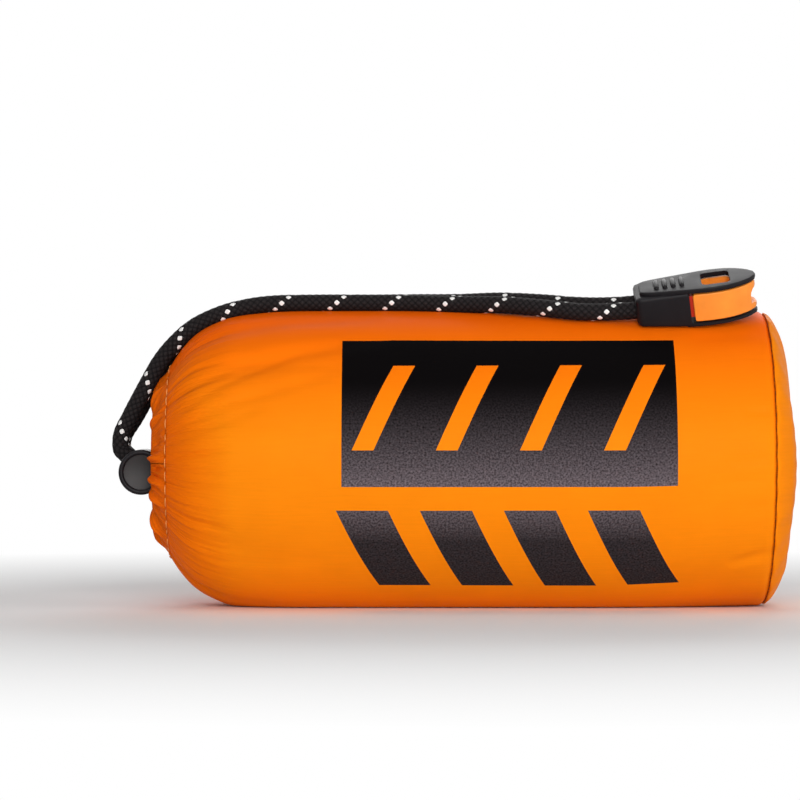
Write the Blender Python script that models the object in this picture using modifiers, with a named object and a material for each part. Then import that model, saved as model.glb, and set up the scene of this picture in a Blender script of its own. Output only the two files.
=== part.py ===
"""An emergency tube tent packed in its drawcord stuff sack, with a whistle on the cord.

The sack lies along X: its gathered mouth is at -X and its round sewn base at +X.
Lengths are in metres, +Z is up, and the sack rests on Z = 0. Sack stations, and the
cord's routes, are measured from the sack's middle, on the sack's own axis.
"""

import math

import bmesh
import bpy
from mathutils import Matrix, Vector

PART_NAME = "emergency_tube_tent"
GAP = 0.0003
OVERRUN = 0.002

# Sack
SACK_RADIUS = 0.0342
SACK_LENGTH = 0.1446
SACK_WALL = 0.0006
SACK_SIDES = 64
REST_DEPTH = 0.0015
SHOULDER_LENGTH = 0.036
TAIL_LENGTH = 0.036
BASE_BULGE = 0.0061
SEAM_ALLOWANCE = 0.006
BASE_LIFT = 0.0007
PLEAT_DEPTH = 0.0007
PLEATS = 16
SHOULDER_SHARES = [
    (0.0, 1.0), (0.2, 0.994), (0.39, 0.977), (0.52, 0.956), (0.64, 0.904),
    (0.71, 0.863), (0.77, 0.807), (0.83, 0.728), (0.9, 0.614), (0.948, 0.503),
]
TAIL_SHARES = [(1.0, 0.968), (0.85, 0.982), (0.5, 0.992), (0.0, 1.0)]
BASE_SHARES = [(1.0, 0.24), (0.96, 0.42), (0.86, 0.63), (0.66, 0.82), (0.28, 0.95), (0.0, 1.0)]

# Hem that holds the drawcord, and the seam that closes the tube of cloth
CHANNEL_RADIUS = 0.0133
CHANNEL_INSET = 0.0027
CHANNEL_WALL = 0.0008
RUFFLE_DEPTH = 0.0003
SEAM_WIDTH = 0.008
SEAM_THICKNESS = 0.0008

# Tent
FILM_BUNDLE = 0.0017
ROLL_PITCH = 0.0025
CORE_RADIUS = 0.0103
ROLL_INSET = 0.0205
ROLL_DROP = 0.0003
ROLL_SIDES = 24
HANK_RADIUS = 0.0088
HANK_LENGTH = 0.104
HANK_SIDES = 20

# Drawcord
CORD_DIAMETER = 0.004
CORD_STEP = 0.0045
BORE_GAP = 0.0003

# Cord lock: a barrel across the sack's axis, with its button at the back
LOCK_STAND = 0.0023
LOCK_DROP = 0.0023
LOCK_TILT = math.radians(45)
LOCK_RADIUS = 0.0051
LOCK_WALL = 0.0011
LOCK_RIM = 0.0007
LOCK_END_WALL = 0.0009
LOCK_LAND = 0.0004
BUTTON_LAND = 0.0007
BUTTON_TRAVEL = 0.0015
BUTTON_DOME = 0.0005
SPRING_SPACE = 0.003
LOCK_SIDES = 32
SPRING_RADIUS = 0.0026
SPRING_WIRE = 0.0005
SPRING_TURNS = 3

# Whistle, in its own frame: U from the cord end to the mouth, V across, W up
WHISTLE_STATION = 0.0372
WHISTLE_ROLL = math.radians(21)
WHISTLE_PITCH = math.radians(8)
WHISTLE_LENGTH = 0.0278
WHISTLE_WIDTH = 0.0126
WHISTLE_HEIGHT = 0.009
PLATE_THICKNESS = 0.0011
SOLE_THICKNESS = 0.0008
SLEEVE_LENGTH = 0.012
SLEEVE_WIDTH = 0.0118
SLEEVE_CORNER = 0.0014
SLEEVE_BEVEL = 0.0009
SOCKET_DEPTH = 0.006
SOCKET_HEIGHT = 0.0046
NECK_LENGTH = 0.0042
NECK_WIDTH = 0.0088
CORE_START = 0.0129
WINDOW_START = 0.0152
WINDOW_LENGTH = 0.0064
WINDOW_WIDTH = 0.0078
WINDOW_CORNER = 0.0012
CHAMBER_FLOOR = 0.0021
CHAMBER_STEP = 0.0046
STEP_START = 0.018
PLATE_BEVEL = 0.0003
CORE_BEVEL = 0.0005
CORE_INSET = 0.0003
NECK_LOW = 0.002
NECK_HIGH = 0.0069
MOUTH_DEPTH = 0.0016
MOUTH_CURVE = 0.0022
MOUTH_CENTRE = 0.0043
WINDWAY_FLOOR = 0.0027
WINDWAY_HEIGHT = 0.0013
WINDWAY_WIDTH = 0.005
RIB_COUNT = 4
RIB_PITCH = 0.0019
RIB_WIDTH = 0.0008
RIB_LENGTH = 0.0052
RIB_HEIGHT = 0.0003
RIB_START = 0.0047
LEAF_SHARES = [
    (0.045, 0.5), (0.085, 0.64), (0.2, 0.76), (0.36, 0.87), (0.54, 0.98), (0.64, 1.0),
    (0.75, 0.94), (0.85, 0.76), (0.93, 0.5), (0.975, 0.24), (0.985, 0.0),
]

AXIS_HEIGHT = SACK_RADIUS - REST_DEPTH
MOUTH_STATION = -SACK_LENGTH / 2
SEAM_STATION = SACK_LENGTH / 2 - BASE_BULGE
CHANNEL_STATION = MOUTH_STATION + CHANNEL_INSET
ROLL_RADIUS = AXIS_HEIGHT - SACK_WALL - ROLL_DROP
LOCK_STATION = MOUTH_STATION - LOCK_STAND
CORD_RADIUS = CORD_DIAMETER / 2
CORD_BORE = CORD_RADIUS + BORE_GAP
CHANNEL_TUBE = CORD_BORE + CHANNEL_WALL
STRAND_PITCH = CORD_DIAMETER + GAP
LOCK_CENTRE = Vector((LOCK_STATION, 0.0, AXIS_HEIGHT - LOCK_DROP))
LOCK_WAY = Vector((-math.cos(LOCK_TILT), 0.0, math.sin(LOCK_TILT)))

# Each strand runs from the lock to the whistle's sleeve. A point is a station along the
# sack's axis, a place across it (the camera's side is minus) and a height over the axis.
# The climb over the shoulder is measured from the mouth, and the rest from the sack's middle.
CLIMB_ROUTE = [
    (-0.0065, -0.0021, 0.0019), (-0.0073, -0.0021, 0.0027), (-0.0072, -0.0021, 0.0062),
    (-0.0053, -0.0022, 0.0102), (-0.0037, -0.0022, 0.0140), (-0.0018, -0.0023, 0.0182),
    (0.0008, -0.0023, 0.0230), (0.0040, -0.0024, 0.0274), (0.0083, -0.0024, 0.0312),
    (0.0137, -0.0025, 0.0339), (0.0198, -0.0025, 0.0356), (0.0273, -0.0026, 0.0366),
]
TOP_ROUTE = [
    (-0.0350, -0.0027, 0.0368), (-0.0240, -0.0028, 0.0368), (-0.0130, -0.0033, 0.0367),
    (-0.0030, -0.0050, 0.0364), (0.0065, -0.0083, 0.0357), (0.0155, -0.0118, 0.0347),
    (0.0235, -0.0143, 0.0338), (0.0300, -0.0150, 0.0337), (0.0366, -0.0154, 0.0341),
    (0.0405, -0.0156, 0.0347),
]
# The rear strand lies beside the front one: how far across, and how far along and up.
REAR_OFFSETS = [
    (0.0, 0.0043, 0.0), (0.0, 0.0043, 0.0), (0.0003, 0.0043, -0.0002),
    (0.0008, 0.0043, -0.0003), (0.0010, 0.0043, -0.0002), (0.0008, 0.0043, -0.0002),
    (0.0006, 0.0043, -0.0002), (0.0004, 0.0043, -0.0001), (0.0002, 0.0043, 0.0),
    (0.0, 0.0043, 0.0), (0.0, 0.0043, 0.0), (0.0, 0.0043, 0.0),
    (0.0, 0.0043, 0.0), (0.0, 0.0043, 0.0001), (0.0, 0.0043, 0.0003),
    (0.0, 0.0043, 0.0006), (0.0, 0.0042, 0.0010), (0.0, 0.0041, 0.0013),
    (0.0, 0.0040, 0.0015), (0.0, 0.0040, 0.0015), (0.0, 0.0040, 0.0015),
    (0.0, 0.0040, 0.0015),
]
# The cord from the lock in to the hem, told the same way and measured from the mouth
LEAD_ROUTE = [
    (0.0033, -0.0022, -0.0074), (0.0051, -0.0031, -0.0083), (0.0067, -0.0063, -0.0086),
    (0.0067, -0.0097, -0.0069), (0.0053, -0.0123, -0.0037), (0.0036, -0.0132, 0.0006),
]
LOOP_START = math.radians(112)
LOOP_POINTS = 17
LOCK_EXIT = LOCK_RADIUS + GAP + GAP / 2
PIVOT_STATION = 0.021
SLOT_HALF = STRAND_PITCH / 2 + CORD_BORE
LOCK_BORE = LOCK_RADIUS - LOCK_WALL
SPRING_END = SLOT_HALF + BUTTON_LAND
LOCK_FRONT = SPRING_END + SPRING_SPACE + LOCK_END_WALL
LOCK_BACK = SLOT_HALF + BUTTON_TRAVEL + LOCK_LAND
BUTTON_END = LOCK_BACK + BUTTON_TRAVEL + GAP
PLATE_FLOOR = WHISTLE_HEIGHT - PLATE_THICKNESS

COLLECTION = None
CUTTERS = None
MATERIALS = {}


def clear_scene():
    """Remove what the new file holds, and make the two collections."""
    global COLLECTION, CUTTERS
    for old in list(bpy.data.objects):
        bpy.data.objects.remove(old, do_unlink=True)
    COLLECTION = bpy.data.collections.new(PART_NAME)
    CUTTERS = bpy.data.collections.new("cutters")
    for made in (COLLECTION, CUTTERS):
        bpy.context.scene.collection.children.link(made)


def material(name, colour, roughness, metallic=0.0):
    """One Principled material for each finish."""
    if name not in MATERIALS:
        made = bpy.data.materials.new(name)
        made.use_nodes = True
        shader = made.node_tree.nodes["Principled BSDF"]
        shader.inputs["Base Color"].default_value = (*colour, 1.0)
        shader.inputs["Roughness"].default_value = roughness
        shader.inputs["Metallic"].default_value = metallic
        MATERIALS[name] = made
    return MATERIALS[name]


def add_object(name, mesh, finish, smooth=True):
    """Put a mesh in the object's collection, with its finish."""
    made = bpy.data.objects.new(name, mesh)
    mesh.materials.clear()
    mesh.materials.append(finish)
    if smooth:
        mesh.shade_smooth()
        mesh.set_sharp_from_angle(angle=math.radians(35))
    COLLECTION.objects.link(made)
    return made


def evaluated(source):
    """The mesh that an object makes with its modifiers, in world space; the object goes."""
    bpy.context.view_layer.update()
    shown = source.evaluated_get(bpy.context.evaluated_depsgraph_get())
    mesh = bpy.data.meshes.new_from_object(shown)
    mesh.transform(source.matrix_world)
    bpy.data.objects.remove(source, do_unlink=True)
    return mesh


def tidy(mesh, outward=None):
    """Weld a mesh and face it outwards; outward says which way out is, for an open one."""
    bm = bmesh.new()
    bm.from_mesh(mesh)
    bmesh.ops.remove_doubles(bm, verts=bm.verts, dist=GAP / 30)
    bmesh.ops.recalc_face_normals(bm, faces=bm.faces)
    if outward is not None:
        bm.faces.ensure_lookup_table()
        face = max(bm.faces, key=lambda f: f.calc_area())
        if face.normal.dot(outward(face.calc_center_median())) < 0:
            bmesh.ops.reverse_faces(bm, faces=bm.faces)
    bm.to_mesh(mesh)
    bm.free()
    return mesh


def turned(outline, sides):
    """Turn an outline of (station, radius) points about the sack's axis direction."""
    profile = bpy.data.meshes.new("profile")
    points = [(radius, 0.0, station) for station, radius in outline]
    profile.from_pydata(points, [(i, i + 1) for i in range(len(points) - 1)], [])
    lathe = bpy.data.objects.new("lathe", profile)
    bpy.context.scene.collection.objects.link(lathe)
    screw = lathe.modifiers.new("turn", "SCREW")
    screw.axis = "Z"
    screw.steps = sides
    screw.render_steps = sides
    screw.use_merge_vertices = True
    screw.merge_threshold = GAP / 30
    lathe.rotation_euler = (0.0, math.pi / 2, 0.0)
    return evaluated(lathe)


def smooth_route(points, step):
    """Points about a step apart on the smooth curve through a route's own points."""
    route = [Vector(p) for p in points]
    ends = [2 * route[0] - route[1], *route, 2 * route[-1] - route[-2]]
    fine = []
    for a, b, c, d in zip(ends, ends[1:], ends[2:], ends[3:]):
        parts = max(1, round((c - b).length / step))
        for k in range(parts):
            t = k / parts
            fine.append(
                0.5 * (2 * b + (c - a) * t + (2 * a - 5 * b + 4 * c - d) * t * t
                       + (3 * b - a - 3 * c + d) * t ** 3)
            )
    fine.append(route[-1])
    return fine


def tube(points, radius, resolution=2):
    """A round tube with filled, welded ends along a line of points."""
    curve = bpy.data.curves.new("route", "CURVE")
    curve.dimensions = "3D"
    curve.bevel_depth = radius
    curve.bevel_resolution = resolution
    curve.use_fill_caps = True
    spline = curve.splines.new("POLY")
    spline.points.add(len(points) - 1)
    for spot, point in zip(spline.points, points):
        spot.co = (*point, 1.0)
    run = bpy.data.objects.new("run", curve)
    bpy.context.scene.collection.objects.link(run)
    return tidy(evaluated(run))


def cutter(name, mesh):
    """An object that only cuts or joins others."""
    made = bpy.data.objects.new(name, mesh)
    made.display_type = "WIRE"
    made.hide_render = True
    CUTTERS.objects.link(made)
    return made


def combine(target, operation, *others):
    """Cut others out of the target, or join them to it."""
    for other in others:
        step = target.modifiers.new(other.name, "BOOLEAN")
        step.operation = operation
        step.solver = "EXACT"
        step.object = other


def box(low, high):
    """A box mesh between two corners."""
    bm = bmesh.new()
    bmesh.ops.create_cube(bm, size=1.0)
    low, high = Vector(low), Vector(high)
    bmesh.ops.scale(bm, vec=high - low, verts=bm.verts)
    bmesh.ops.translate(bm, vec=(low + high) / 2, verts=bm.verts)
    mesh = bpy.data.meshes.new("box")
    bm.to_mesh(mesh)
    bm.free()
    return mesh


def slab(outline, low, high, bevel=0.0):
    """A flat plan of (U, V) points made solid from one height to another."""
    bm = bmesh.new()
    face = bm.faces.new([bm.verts.new((u, v, low)) for u, v in outline])
    raised = bmesh.ops.extrude_face_region(bm, geom=[face])["geom"]
    tops = [g for g in raised if isinstance(g, bmesh.types.BMVert)]
    bmesh.ops.translate(bm, vec=(0.0, 0.0, high - low), verts=tops)
    if bevel:
        rims = [e for e in bm.edges if abs(e.verts[0].co.z - e.verts[1].co.z) < bevel / 10]
        bmesh.ops.bevel(bm, geom=rims, offset=bevel, segments=2, profile=0.5,
                        affect="EDGES", material=-1)
    mesh = bpy.data.meshes.new("slab")
    bm.to_mesh(mesh)
    bm.free()
    return tidy(mesh)


def on_axis(point):
    """A station, a place across and a height over the sack's axis, as a place."""
    return Vector((point[0], point[1], point[2] + AXIS_HEIGHT))


def from_mouth(point):
    """A point told from the sack's mouth, told from its middle instead."""
    return (point[0] + MOUTH_STATION, point[1], point[2])


def from_middle(place):
    """The way out of the sack at a place told from the sack's middle."""
    return Vector(place)


def ease(share):
    """A share from 0 to 1 that starts and stops gently."""
    share = min(1.0, max(0.0, share))
    return share * share * (3 - 2 * share)


def settle(mesh):
    """Gather the cloth at the mouth, lift the base end and flatten what the sack rests on."""
    floor = -AXIS_HEIGHT
    shoulder = MOUTH_STATION + SHOULDER_LENGTH
    for vert in mesh.vertices:
        x, y, z = vert.co
        gather = ease((shoulder - x) / SHOULDER_LENGTH) ** 2
        wave = 0.5 - 0.5 * math.cos(PLEATS * math.atan2(z, y))
        out = 1 + PLEAT_DEPTH * gather * wave / max(math.hypot(y, z), SACK_WALL)
        lift = BASE_LIFT * ease((x - (SEAM_STATION - TAIL_LENGTH)) / TAIL_LENGTH)
        vert.co = (x, y * out, max(z * out + lift, floor) + AXIS_HEIGHT)
    return mesh


def shell(name, outline, finish, wall=SACK_WALL):
    """A turned skin of cloth with its wall on the inside."""
    mesh = settle(tidy(turned(outline, SACK_SIDES), from_middle))
    made = add_object(name, mesh, finish)
    skin = made.modifiers.new("wall", "SOLIDIFY")
    skin.thickness = wall
    skin.offset = -1.0
    skin.use_even_offset = True
    return made


def make_sack(cloth, seam_cloth):
    """The tube of cloth, its sewn base, its closing seam and the hem round the mouth."""
    body = [(SEAM_STATION - TAIL_LENGTH * (1 - along), SACK_RADIUS * out)
            for along, out in TAIL_SHARES]
    body += [(MOUTH_STATION + SHOULDER_LENGTH * (1 - along), SACK_RADIUS * out)
             for along, out in SHOULDER_SHARES]
    shell("sack_body", body, cloth)

    rim = SACK_RADIUS * TAIL_SHARES[0][1]
    start = SEAM_STATION + GAP
    base = [(SACK_LENGTH / 2, 0.0)]
    base += [(start + (BASE_BULGE - GAP) * along, rim * out) for along, out in BASE_SHARES]
    base += [(start - GAP, rim - SACK_WALL - GAP), (start - SEAM_ALLOWANCE, rim - SACK_WALL - GAP)]
    shell("sack_base", base, cloth)

    bm = bmesh.new()
    outer = SACK_RADIUS - SACK_WALL - GAP
    ring = [
        bm.verts.new((station, radius, 0.0))
        for station, radius in (
            (MOUTH_STATION + SHOULDER_LENGTH, outer),
            (SEAM_STATION - TAIL_LENGTH, outer),
            (SEAM_STATION - TAIL_LENGTH, outer - SEAM_THICKNESS),
            (MOUTH_STATION + SHOULDER_LENGTH, outer - SEAM_THICKNESS),
        )
    ]
    strip = bm.faces.new(ring)
    turn = SEAM_WIDTH / outer
    bmesh.ops.rotate(bm, verts=bm.verts, matrix=Matrix.Rotation(-turn / 2, 3, "X"))
    bmesh.ops.spin(bm, geom=[strip, *strip.edges, *strip.verts], axis=(1, 0, 0), angle=turn,
                   steps=3, cent=(0, 0, 0))
    bmesh.ops.translate(bm, vec=(0, 0, AXIS_HEIGHT), verts=bm.verts)
    mesh = bpy.data.meshes.new("side_seam")
    bm.to_mesh(mesh)
    bm.free()
    add_object("side_seam", tidy(mesh), seam_cloth)


def lock_place(along, side=0.0):
    """A place along the lock's cord slot, from its middle towards the whistle's strands."""
    return LOCK_CENTRE + LOCK_WAY * along + Vector((0.0, side, 0.0))


def loop_points():
    """The cord from one lock hole, round the channel and back to the other."""
    near = [lock_place(LOCK_EXIT * share, -STRAND_PITCH / 2) for share in (1, 0, -1)]
    near += [on_axis(from_mouth(point)) for point in LEAD_ROUTE]
    turn = 2 * LOOP_START / (LOOP_POINTS - 1)
    ring = []
    for k in range(LOOP_POINTS):
        angle = LOOP_START - turn * k
        ring.append(on_axis((
            CHANNEL_STATION, -CHANNEL_RADIUS * math.sin(math.pi - angle),
            -CHANNEL_RADIUS * math.cos(math.pi - angle))))
    far = [Vector((p.x, -p.y, p.z)) for p in reversed(near)]
    return smooth_route([*near, *ring, *far], CORD_DIAMETER / 2)


def make_channel(cloth):
    """The gathered hem, with the drawcord's way through it."""
    sides = 16
    outline = [
        (CHANNEL_STATION + CHANNEL_TUBE * math.sin(2 * math.pi * k / sides),
         CHANNEL_RADIUS + CHANNEL_TUBE * math.cos(2 * math.pi * k / sides))
        for k in range(sides + 1)
    ]
    mesh = tidy(turned(outline, SACK_SIDES))
    for vert in mesh.vertices:
        x, y, z = vert.co
        far = math.hypot(y, z)
        middle = Vector((CHANNEL_STATION, y / far * CHANNEL_RADIUS, z / far * CHANNEL_RADIUS))
        way = (vert.co - middle).normalized()
        wave = RUFFLE_DEPTH * math.cos(PLEATS * math.atan2(z, y))
        vert.co = vert.co + way * wave * max(0.0, -way.x) + Vector((0, 0, AXIS_HEIGHT))
    made = add_object("mouth_channel", mesh, cloth)
    combine(made, "DIFFERENCE", cutter("channel_bore", tube(loop_points(), CORD_BORE)))


def make_tent(film, line):
    """The folded film tube rolled up, and the ridge line wound in its core."""
    turns = (ROLL_RADIUS - CORE_RADIUS - FILM_BUNDLE) / ROLL_PITCH
    count = round(turns * ROLL_SIDES)
    start, end = MOUTH_STATION + ROLL_INSET, SEAM_STATION - SEAM_ALLOWANCE - GAP
    bm = bmesh.new()
    chain = []
    for k in range(count + 1):
        angle = 2 * math.pi * k / ROLL_SIDES - math.pi / 2
        radius = CORE_RADIUS + FILM_BUNDLE / 2 + ROLL_PITCH * k / ROLL_SIDES
        chain.append(bm.verts.new((start, radius * math.cos(angle), radius * math.sin(angle))))
    edges = [bm.edges.new(pair) for pair in zip(chain, chain[1:])]
    raised = bmesh.ops.extrude_edge_only(bm, edges=edges)["geom"]
    tops = [g for g in raised if isinstance(g, bmesh.types.BMVert)]
    bmesh.ops.translate(bm, vec=(end - start, 0.0, 0.0), verts=tops)
    bmesh.ops.translate(bm, vec=(0.0, 0.0, AXIS_HEIGHT - ROLL_DROP), verts=bm.verts)
    mesh = bpy.data.meshes.new("tent_roll")
    bm.to_mesh(mesh)
    bm.free()
    roll = add_object("tent_roll", mesh, film)
    skin = roll.modifiers.new("film", "SOLIDIFY")
    skin.thickness = FILM_BUNDLE
    skin.offset = 0.0

    rise = HANK_RADIUS - CORE_RADIUS + GAP - ROLL_DROP
    half, arc = HANK_LENGTH / 2, 6
    outline = [
        (half - HANK_RADIUS * (1 - math.sin(math.pi / 2 * (arc - k) / arc)),
         HANK_RADIUS * math.sin(math.pi / 2 * k / arc))
        for k in range(arc + 1)
    ]
    outline += [(-station, radius) for station, radius in reversed(outline)]
    hank = tidy(turned(outline, HANK_SIDES))
    hank.transform(Matrix.Translation(((start + end) / 2, 0.0, AXIS_HEIGHT + rise)))
    add_object("ridge_line_hank", hank, line)


def strand_routes():
    """The front strand's route, and the rear one's from the offsets beside it."""
    front = [*[from_mouth(point) for point in CLIMB_ROUTE], *TOP_ROUTE]
    rear = [tuple(a + b for a, b in zip(point, beside))
            for point, beside in zip(front, REAR_OFFSETS)]
    return front, rear


def make_cord(cord):
    """The cord in the channel and the lock, and the two strands to the whistle."""
    add_object("drawcord_channel_loop", tube(loop_points(), CORD_RADIUS), cord)
    names = ("drawcord_front_strand", "drawcord_rear_strand")
    for name, route in zip(names, strand_routes()):
        points = smooth_route([on_axis(point) for point in route], CORD_STEP)
        add_object(name, tube(points, CORD_RADIUS), cord)


def stadium(low, high, half_width):
    """The plan of a slot with round ends, from one place to another."""
    arc = 8
    points = []
    for middle, side in ((high - half_width, 1), (low + half_width, -1)):
        for k in range(arc + 1):
            angle = math.pi * k / arc
            points.append((middle + side * half_width * math.sin(angle),
                           side * half_width * math.cos(angle)))
    return points


def frame_of(u_way, w_way, origin):
    """The matrix that puts a plan's U, V and W along given directions."""
    v_way = Vector(w_way).cross(Vector(u_way))
    return Matrix.Translation(origin) @ Matrix(
        (Vector(u_way), v_way, Vector(w_way))).transposed().to_4x4()


def make_lock(dark, steel):
    """The barrel, the button that slides in it and the spring under the button."""
    barrel = [
        (LOCK_RIM - LOCK_FRONT, 0.0), (LOCK_RIM / 2 - LOCK_FRONT, LOCK_RADIUS - 2 * LOCK_RIM),
        (-LOCK_FRONT, LOCK_RADIUS - LOCK_RIM), (LOCK_RIM - LOCK_FRONT, LOCK_RADIUS),
        (LOCK_BACK - LOCK_RIM, LOCK_RADIUS), (LOCK_BACK, LOCK_RADIUS - LOCK_RIM / 2),
        (LOCK_BACK, LOCK_BORE), (-SPRING_END - SPRING_SPACE, LOCK_BORE),
        (-SPRING_END - SPRING_SPACE, 0.0),
    ]
    stand = Matrix.Translation(LOCK_CENTRE) @ Matrix.Rotation(math.pi / 2, 4, "Z")
    mesh = tidy(turned(barrel, LOCK_SIDES))
    mesh.transform(stand)
    body = add_object("cord_lock_body", mesh, dark)
    across = frame_of((0.0, 1.0, 0.0), LOCK_WAY, LOCK_CENTRE)
    reach = LOCK_RADIUS + OVERRUN
    slot = slab(stadium(-SLOT_HALF, SLOT_HALF, CORD_BORE), -reach, reach)
    slot.transform(across)
    combine(body, "DIFFERENCE", cutter("lock_slot", slot))

    stem = LOCK_BORE - GAP
    plunger = [
        (-SPRING_END, 0.0), (-SPRING_END, stem), (BUTTON_END - BUTTON_DOME, stem),
        (BUTTON_END - BUTTON_DOME / 3, stem - BUTTON_DOME), (BUTTON_END, stem / 2),
        (BUTTON_END, 0.0),
    ]
    mesh = tidy(turned(plunger, LOCK_SIDES))
    mesh.transform(Matrix.Rotation(math.pi / 2, 4, "Z"))
    button = add_object("cord_lock_button", mesh, dark)
    button.location = LOCK_CENTRE
    slot = slab(stadium(-SLOT_HALF, SLOT_HALF + BUTTON_TRAVEL, CORD_BORE), -reach, reach)
    slot.transform(across)
    combine(button, "DIFFERENCE", cutter("button_slot", slot))

    steps = 10
    low = -SPRING_END - SPRING_SPACE + SPRING_WIRE / 2 + GAP / 3
    high = -SPRING_END - SPRING_WIRE / 2 - GAP / 3
    count = SPRING_TURNS * steps
    coil = [
        LOCK_CENTRE + Vector((
            SPRING_RADIUS * math.cos(2 * math.pi * k / steps), low + (high - low) * k / count,
            SPRING_RADIUS * math.sin(2 * math.pi * k / steps)))
        for k in range(count + 1)
    ]
    add_object("cord_lock_spring", tube(coil, SPRING_WIRE / 2, 1), steel)


def leaf(start, inset):
    """The whistle's leaf-shaped plan, from a place along it to the tip."""
    half_width = WHISTLE_WIDTH / 2
    half = smooth_route([(WHISTLE_LENGTH * u, half_width * v, 0.0) for u, v in LEAF_SHARES],
                        WHISTLE_LENGTH / 20)
    kept = [(p.x - inset, max(p.y - inset, 0.0)) for p in half if p.x - inset > start]
    before = [p for p in half if p.x - inset <= start]
    if before:
        kept.insert(0, (start, before[-1].y - inset))
    upper = [point for point in kept if point[1] > CORE_INSET]
    tip = kept[-1][0]
    return [*upper, (tip, 0.0), *[(u, -v) for u, v in reversed(upper)]]


def rounded_plan(low_u, high_u, half_width, corner, both=True):
    """A rectangular plan with round corners; both rounds the far end too."""
    points = []
    arc = 4
    corners = [(low_u + corner, half_width - corner, math.pi / 2),
               (low_u + corner, corner - half_width, math.pi)]
    if both:
        corners += [(high_u - corner, corner - half_width, 1.5 * math.pi),
                    (high_u - corner, half_width - corner, 0.0)]
    for u, v, first in corners:
        for k in range(arc + 1):
            angle = first + math.pi / 2 * k / arc
            points.append((u + corner * math.cos(angle), v + corner * math.sin(angle)))
    if not both:
        points += [(high_u, -half_width), (high_u, half_width)]
    return points


def whistle_frame():
    """Where the whistle lies: on the sack's upper front, with its mouth end raised."""
    out = Vector((0.0, -math.sin(WHISTLE_ROLL), math.cos(WHISTLE_ROLL)))
    ahead = Vector((1.0, 0.0, 0.0))
    along = ahead * math.cos(WHISTLE_PITCH) + out * math.sin(WHISTLE_PITCH)
    up = out * math.cos(WHISTLE_PITCH) - ahead * math.sin(WHISTLE_PITCH)
    far = SACK_RADIUS + GAP - SLEEVE_LENGTH * math.sin(WHISTLE_PITCH)
    return frame_of(along, up, Vector((WHISTLE_STATION, 0.0, AXIS_HEIGHT)) + out * far)


def make_whistle(black, orange, pivot):
    """The black shell with its window, and the orange core with the windway and chamber."""
    place = whistle_frame()

    def part(name, mesh, finish=None):
        mesh.transform(place)
        if finish is None:
            return cutter(name, mesh)
        made = add_object(name, mesh, finish)
        made.parent = pivot
        made.matrix_parent_inverse = Matrix.Translation(pivot.location).inverted()
        return made

    plate = slab(leaf(0.0, 0.0), PLATE_FLOOR, WHISTLE_HEIGHT, PLATE_BEVEL)
    shell_piece = part("whistle_shell", plate, black)
    sleeve = slab(rounded_plan(0.0, SLEEVE_LENGTH, SLEEVE_WIDTH / 2, SLEEVE_CORNER, False),
                  0.0, PLATE_FLOOR + PLATE_THICKNESS / 4, SLEEVE_BEVEL)
    for vert in sleeve.vertices:
        if vert.co.z < WHISTLE_HEIGHT / 3:
            vert.co.z += (SLEEVE_LENGTH - vert.co.x) * math.tan(WHISTLE_PITCH)
    sole = slab(leaf(SLEEVE_LENGTH - OVERRUN / 2, CORE_INSET), GAP / 3, SOLE_THICKNESS)
    combine(shell_piece, "UNION", part("sleeve", sleeve), part("sole", sole))
    for k in range(RIB_COUNT):
        low = RIB_START + RIB_PITCH * k
        rib = slab(rounded_plan(low, low + RIB_WIDTH, RIB_LENGTH / 2, RIB_WIDTH / 3),
                   WHISTLE_HEIGHT - PLATE_THICKNESS / 2, WHISTLE_HEIGHT + RIB_HEIGHT)
        combine(shell_piece, "UNION", part(f"rib_{k + 1}", rib))
    window = rounded_plan(WINDOW_START, WINDOW_START + WINDOW_LENGTH, WINDOW_WIDTH / 2,
                          WINDOW_CORNER)
    opening = slab(window, PLATE_FLOOR - OVERRUN / 4, WHISTLE_HEIGHT + OVERRUN)
    socket = slab(stadium(-SLOT_HALF, SLOT_HALF, CORD_BORE), -OVERRUN, SOCKET_DEPTH)
    socket.transform(frame_of((0.0, 1.0, 0.0), (1.0, 0.0, 0.0), (0.0, 0.0, SOCKET_HEIGHT)))
    neck_start = SLEEVE_LENGTH - NECK_LENGTH
    neck_half = NECK_WIDTH / 2
    pocket = box((neck_start - GAP, -neck_half - GAP, NECK_LOW - GAP),
                 (SLEEVE_LENGTH + OVERRUN, neck_half + GAP, NECK_HIGH + GAP))
    combine(shell_piece, "DIFFERENCE", part("window", opening), part("cord_socket", socket),
            part("neck_pocket", pocket))

    block = slab(leaf(CORE_START, CORE_INSET), SOLE_THICKNESS + GAP, PLATE_FLOOR - GAP, CORE_BEVEL)
    core = part("whistle_core", block, orange)
    neck = box((neck_start, -neck_half, NECK_LOW), (CORE_START + OVERRUN / 2, neck_half, NECK_HIGH))
    combine(core, "UNION", part("neck", neck))
    top = WHISTLE_HEIGHT
    deep = slab(rounded_plan(WINDOW_START, STEP_START, WINDOW_WIDTH / 2, WINDOW_CORNER),
                CHAMBER_FLOOR, top)
    shallow = slab(rounded_plan(STEP_START - WINDOW_CORNER, WINDOW_START + WINDOW_LENGTH,
                                WINDOW_WIDTH / 2, WINDOW_CORNER), CHAMBER_STEP, top)
    tip = WHISTLE_LENGTH * LEAF_SHARES[-1][0]
    windway = box((STEP_START - GAP, -WINDWAY_WIDTH / 2, WINDWAY_FLOOR),
                  (tip + OVERRUN, WINDWAY_WIDTH / 2, WINDWAY_FLOOR + WINDWAY_HEIGHT))
    bite = tube([(0.0, -WHISTLE_WIDTH, 0.0), (0.0, WHISTLE_WIDTH, 0.0)], MOUTH_CURVE, 6)
    bite.transform(Matrix.Translation((tip - MOUTH_DEPTH + MOUTH_CURVE, 0.0, MOUTH_CENTRE)))
    combine(core, "DIFFERENCE", part("deep_chamber", deep), part("shallow_chamber", shallow),
            part("windway", windway), part("bite", bite))


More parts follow.
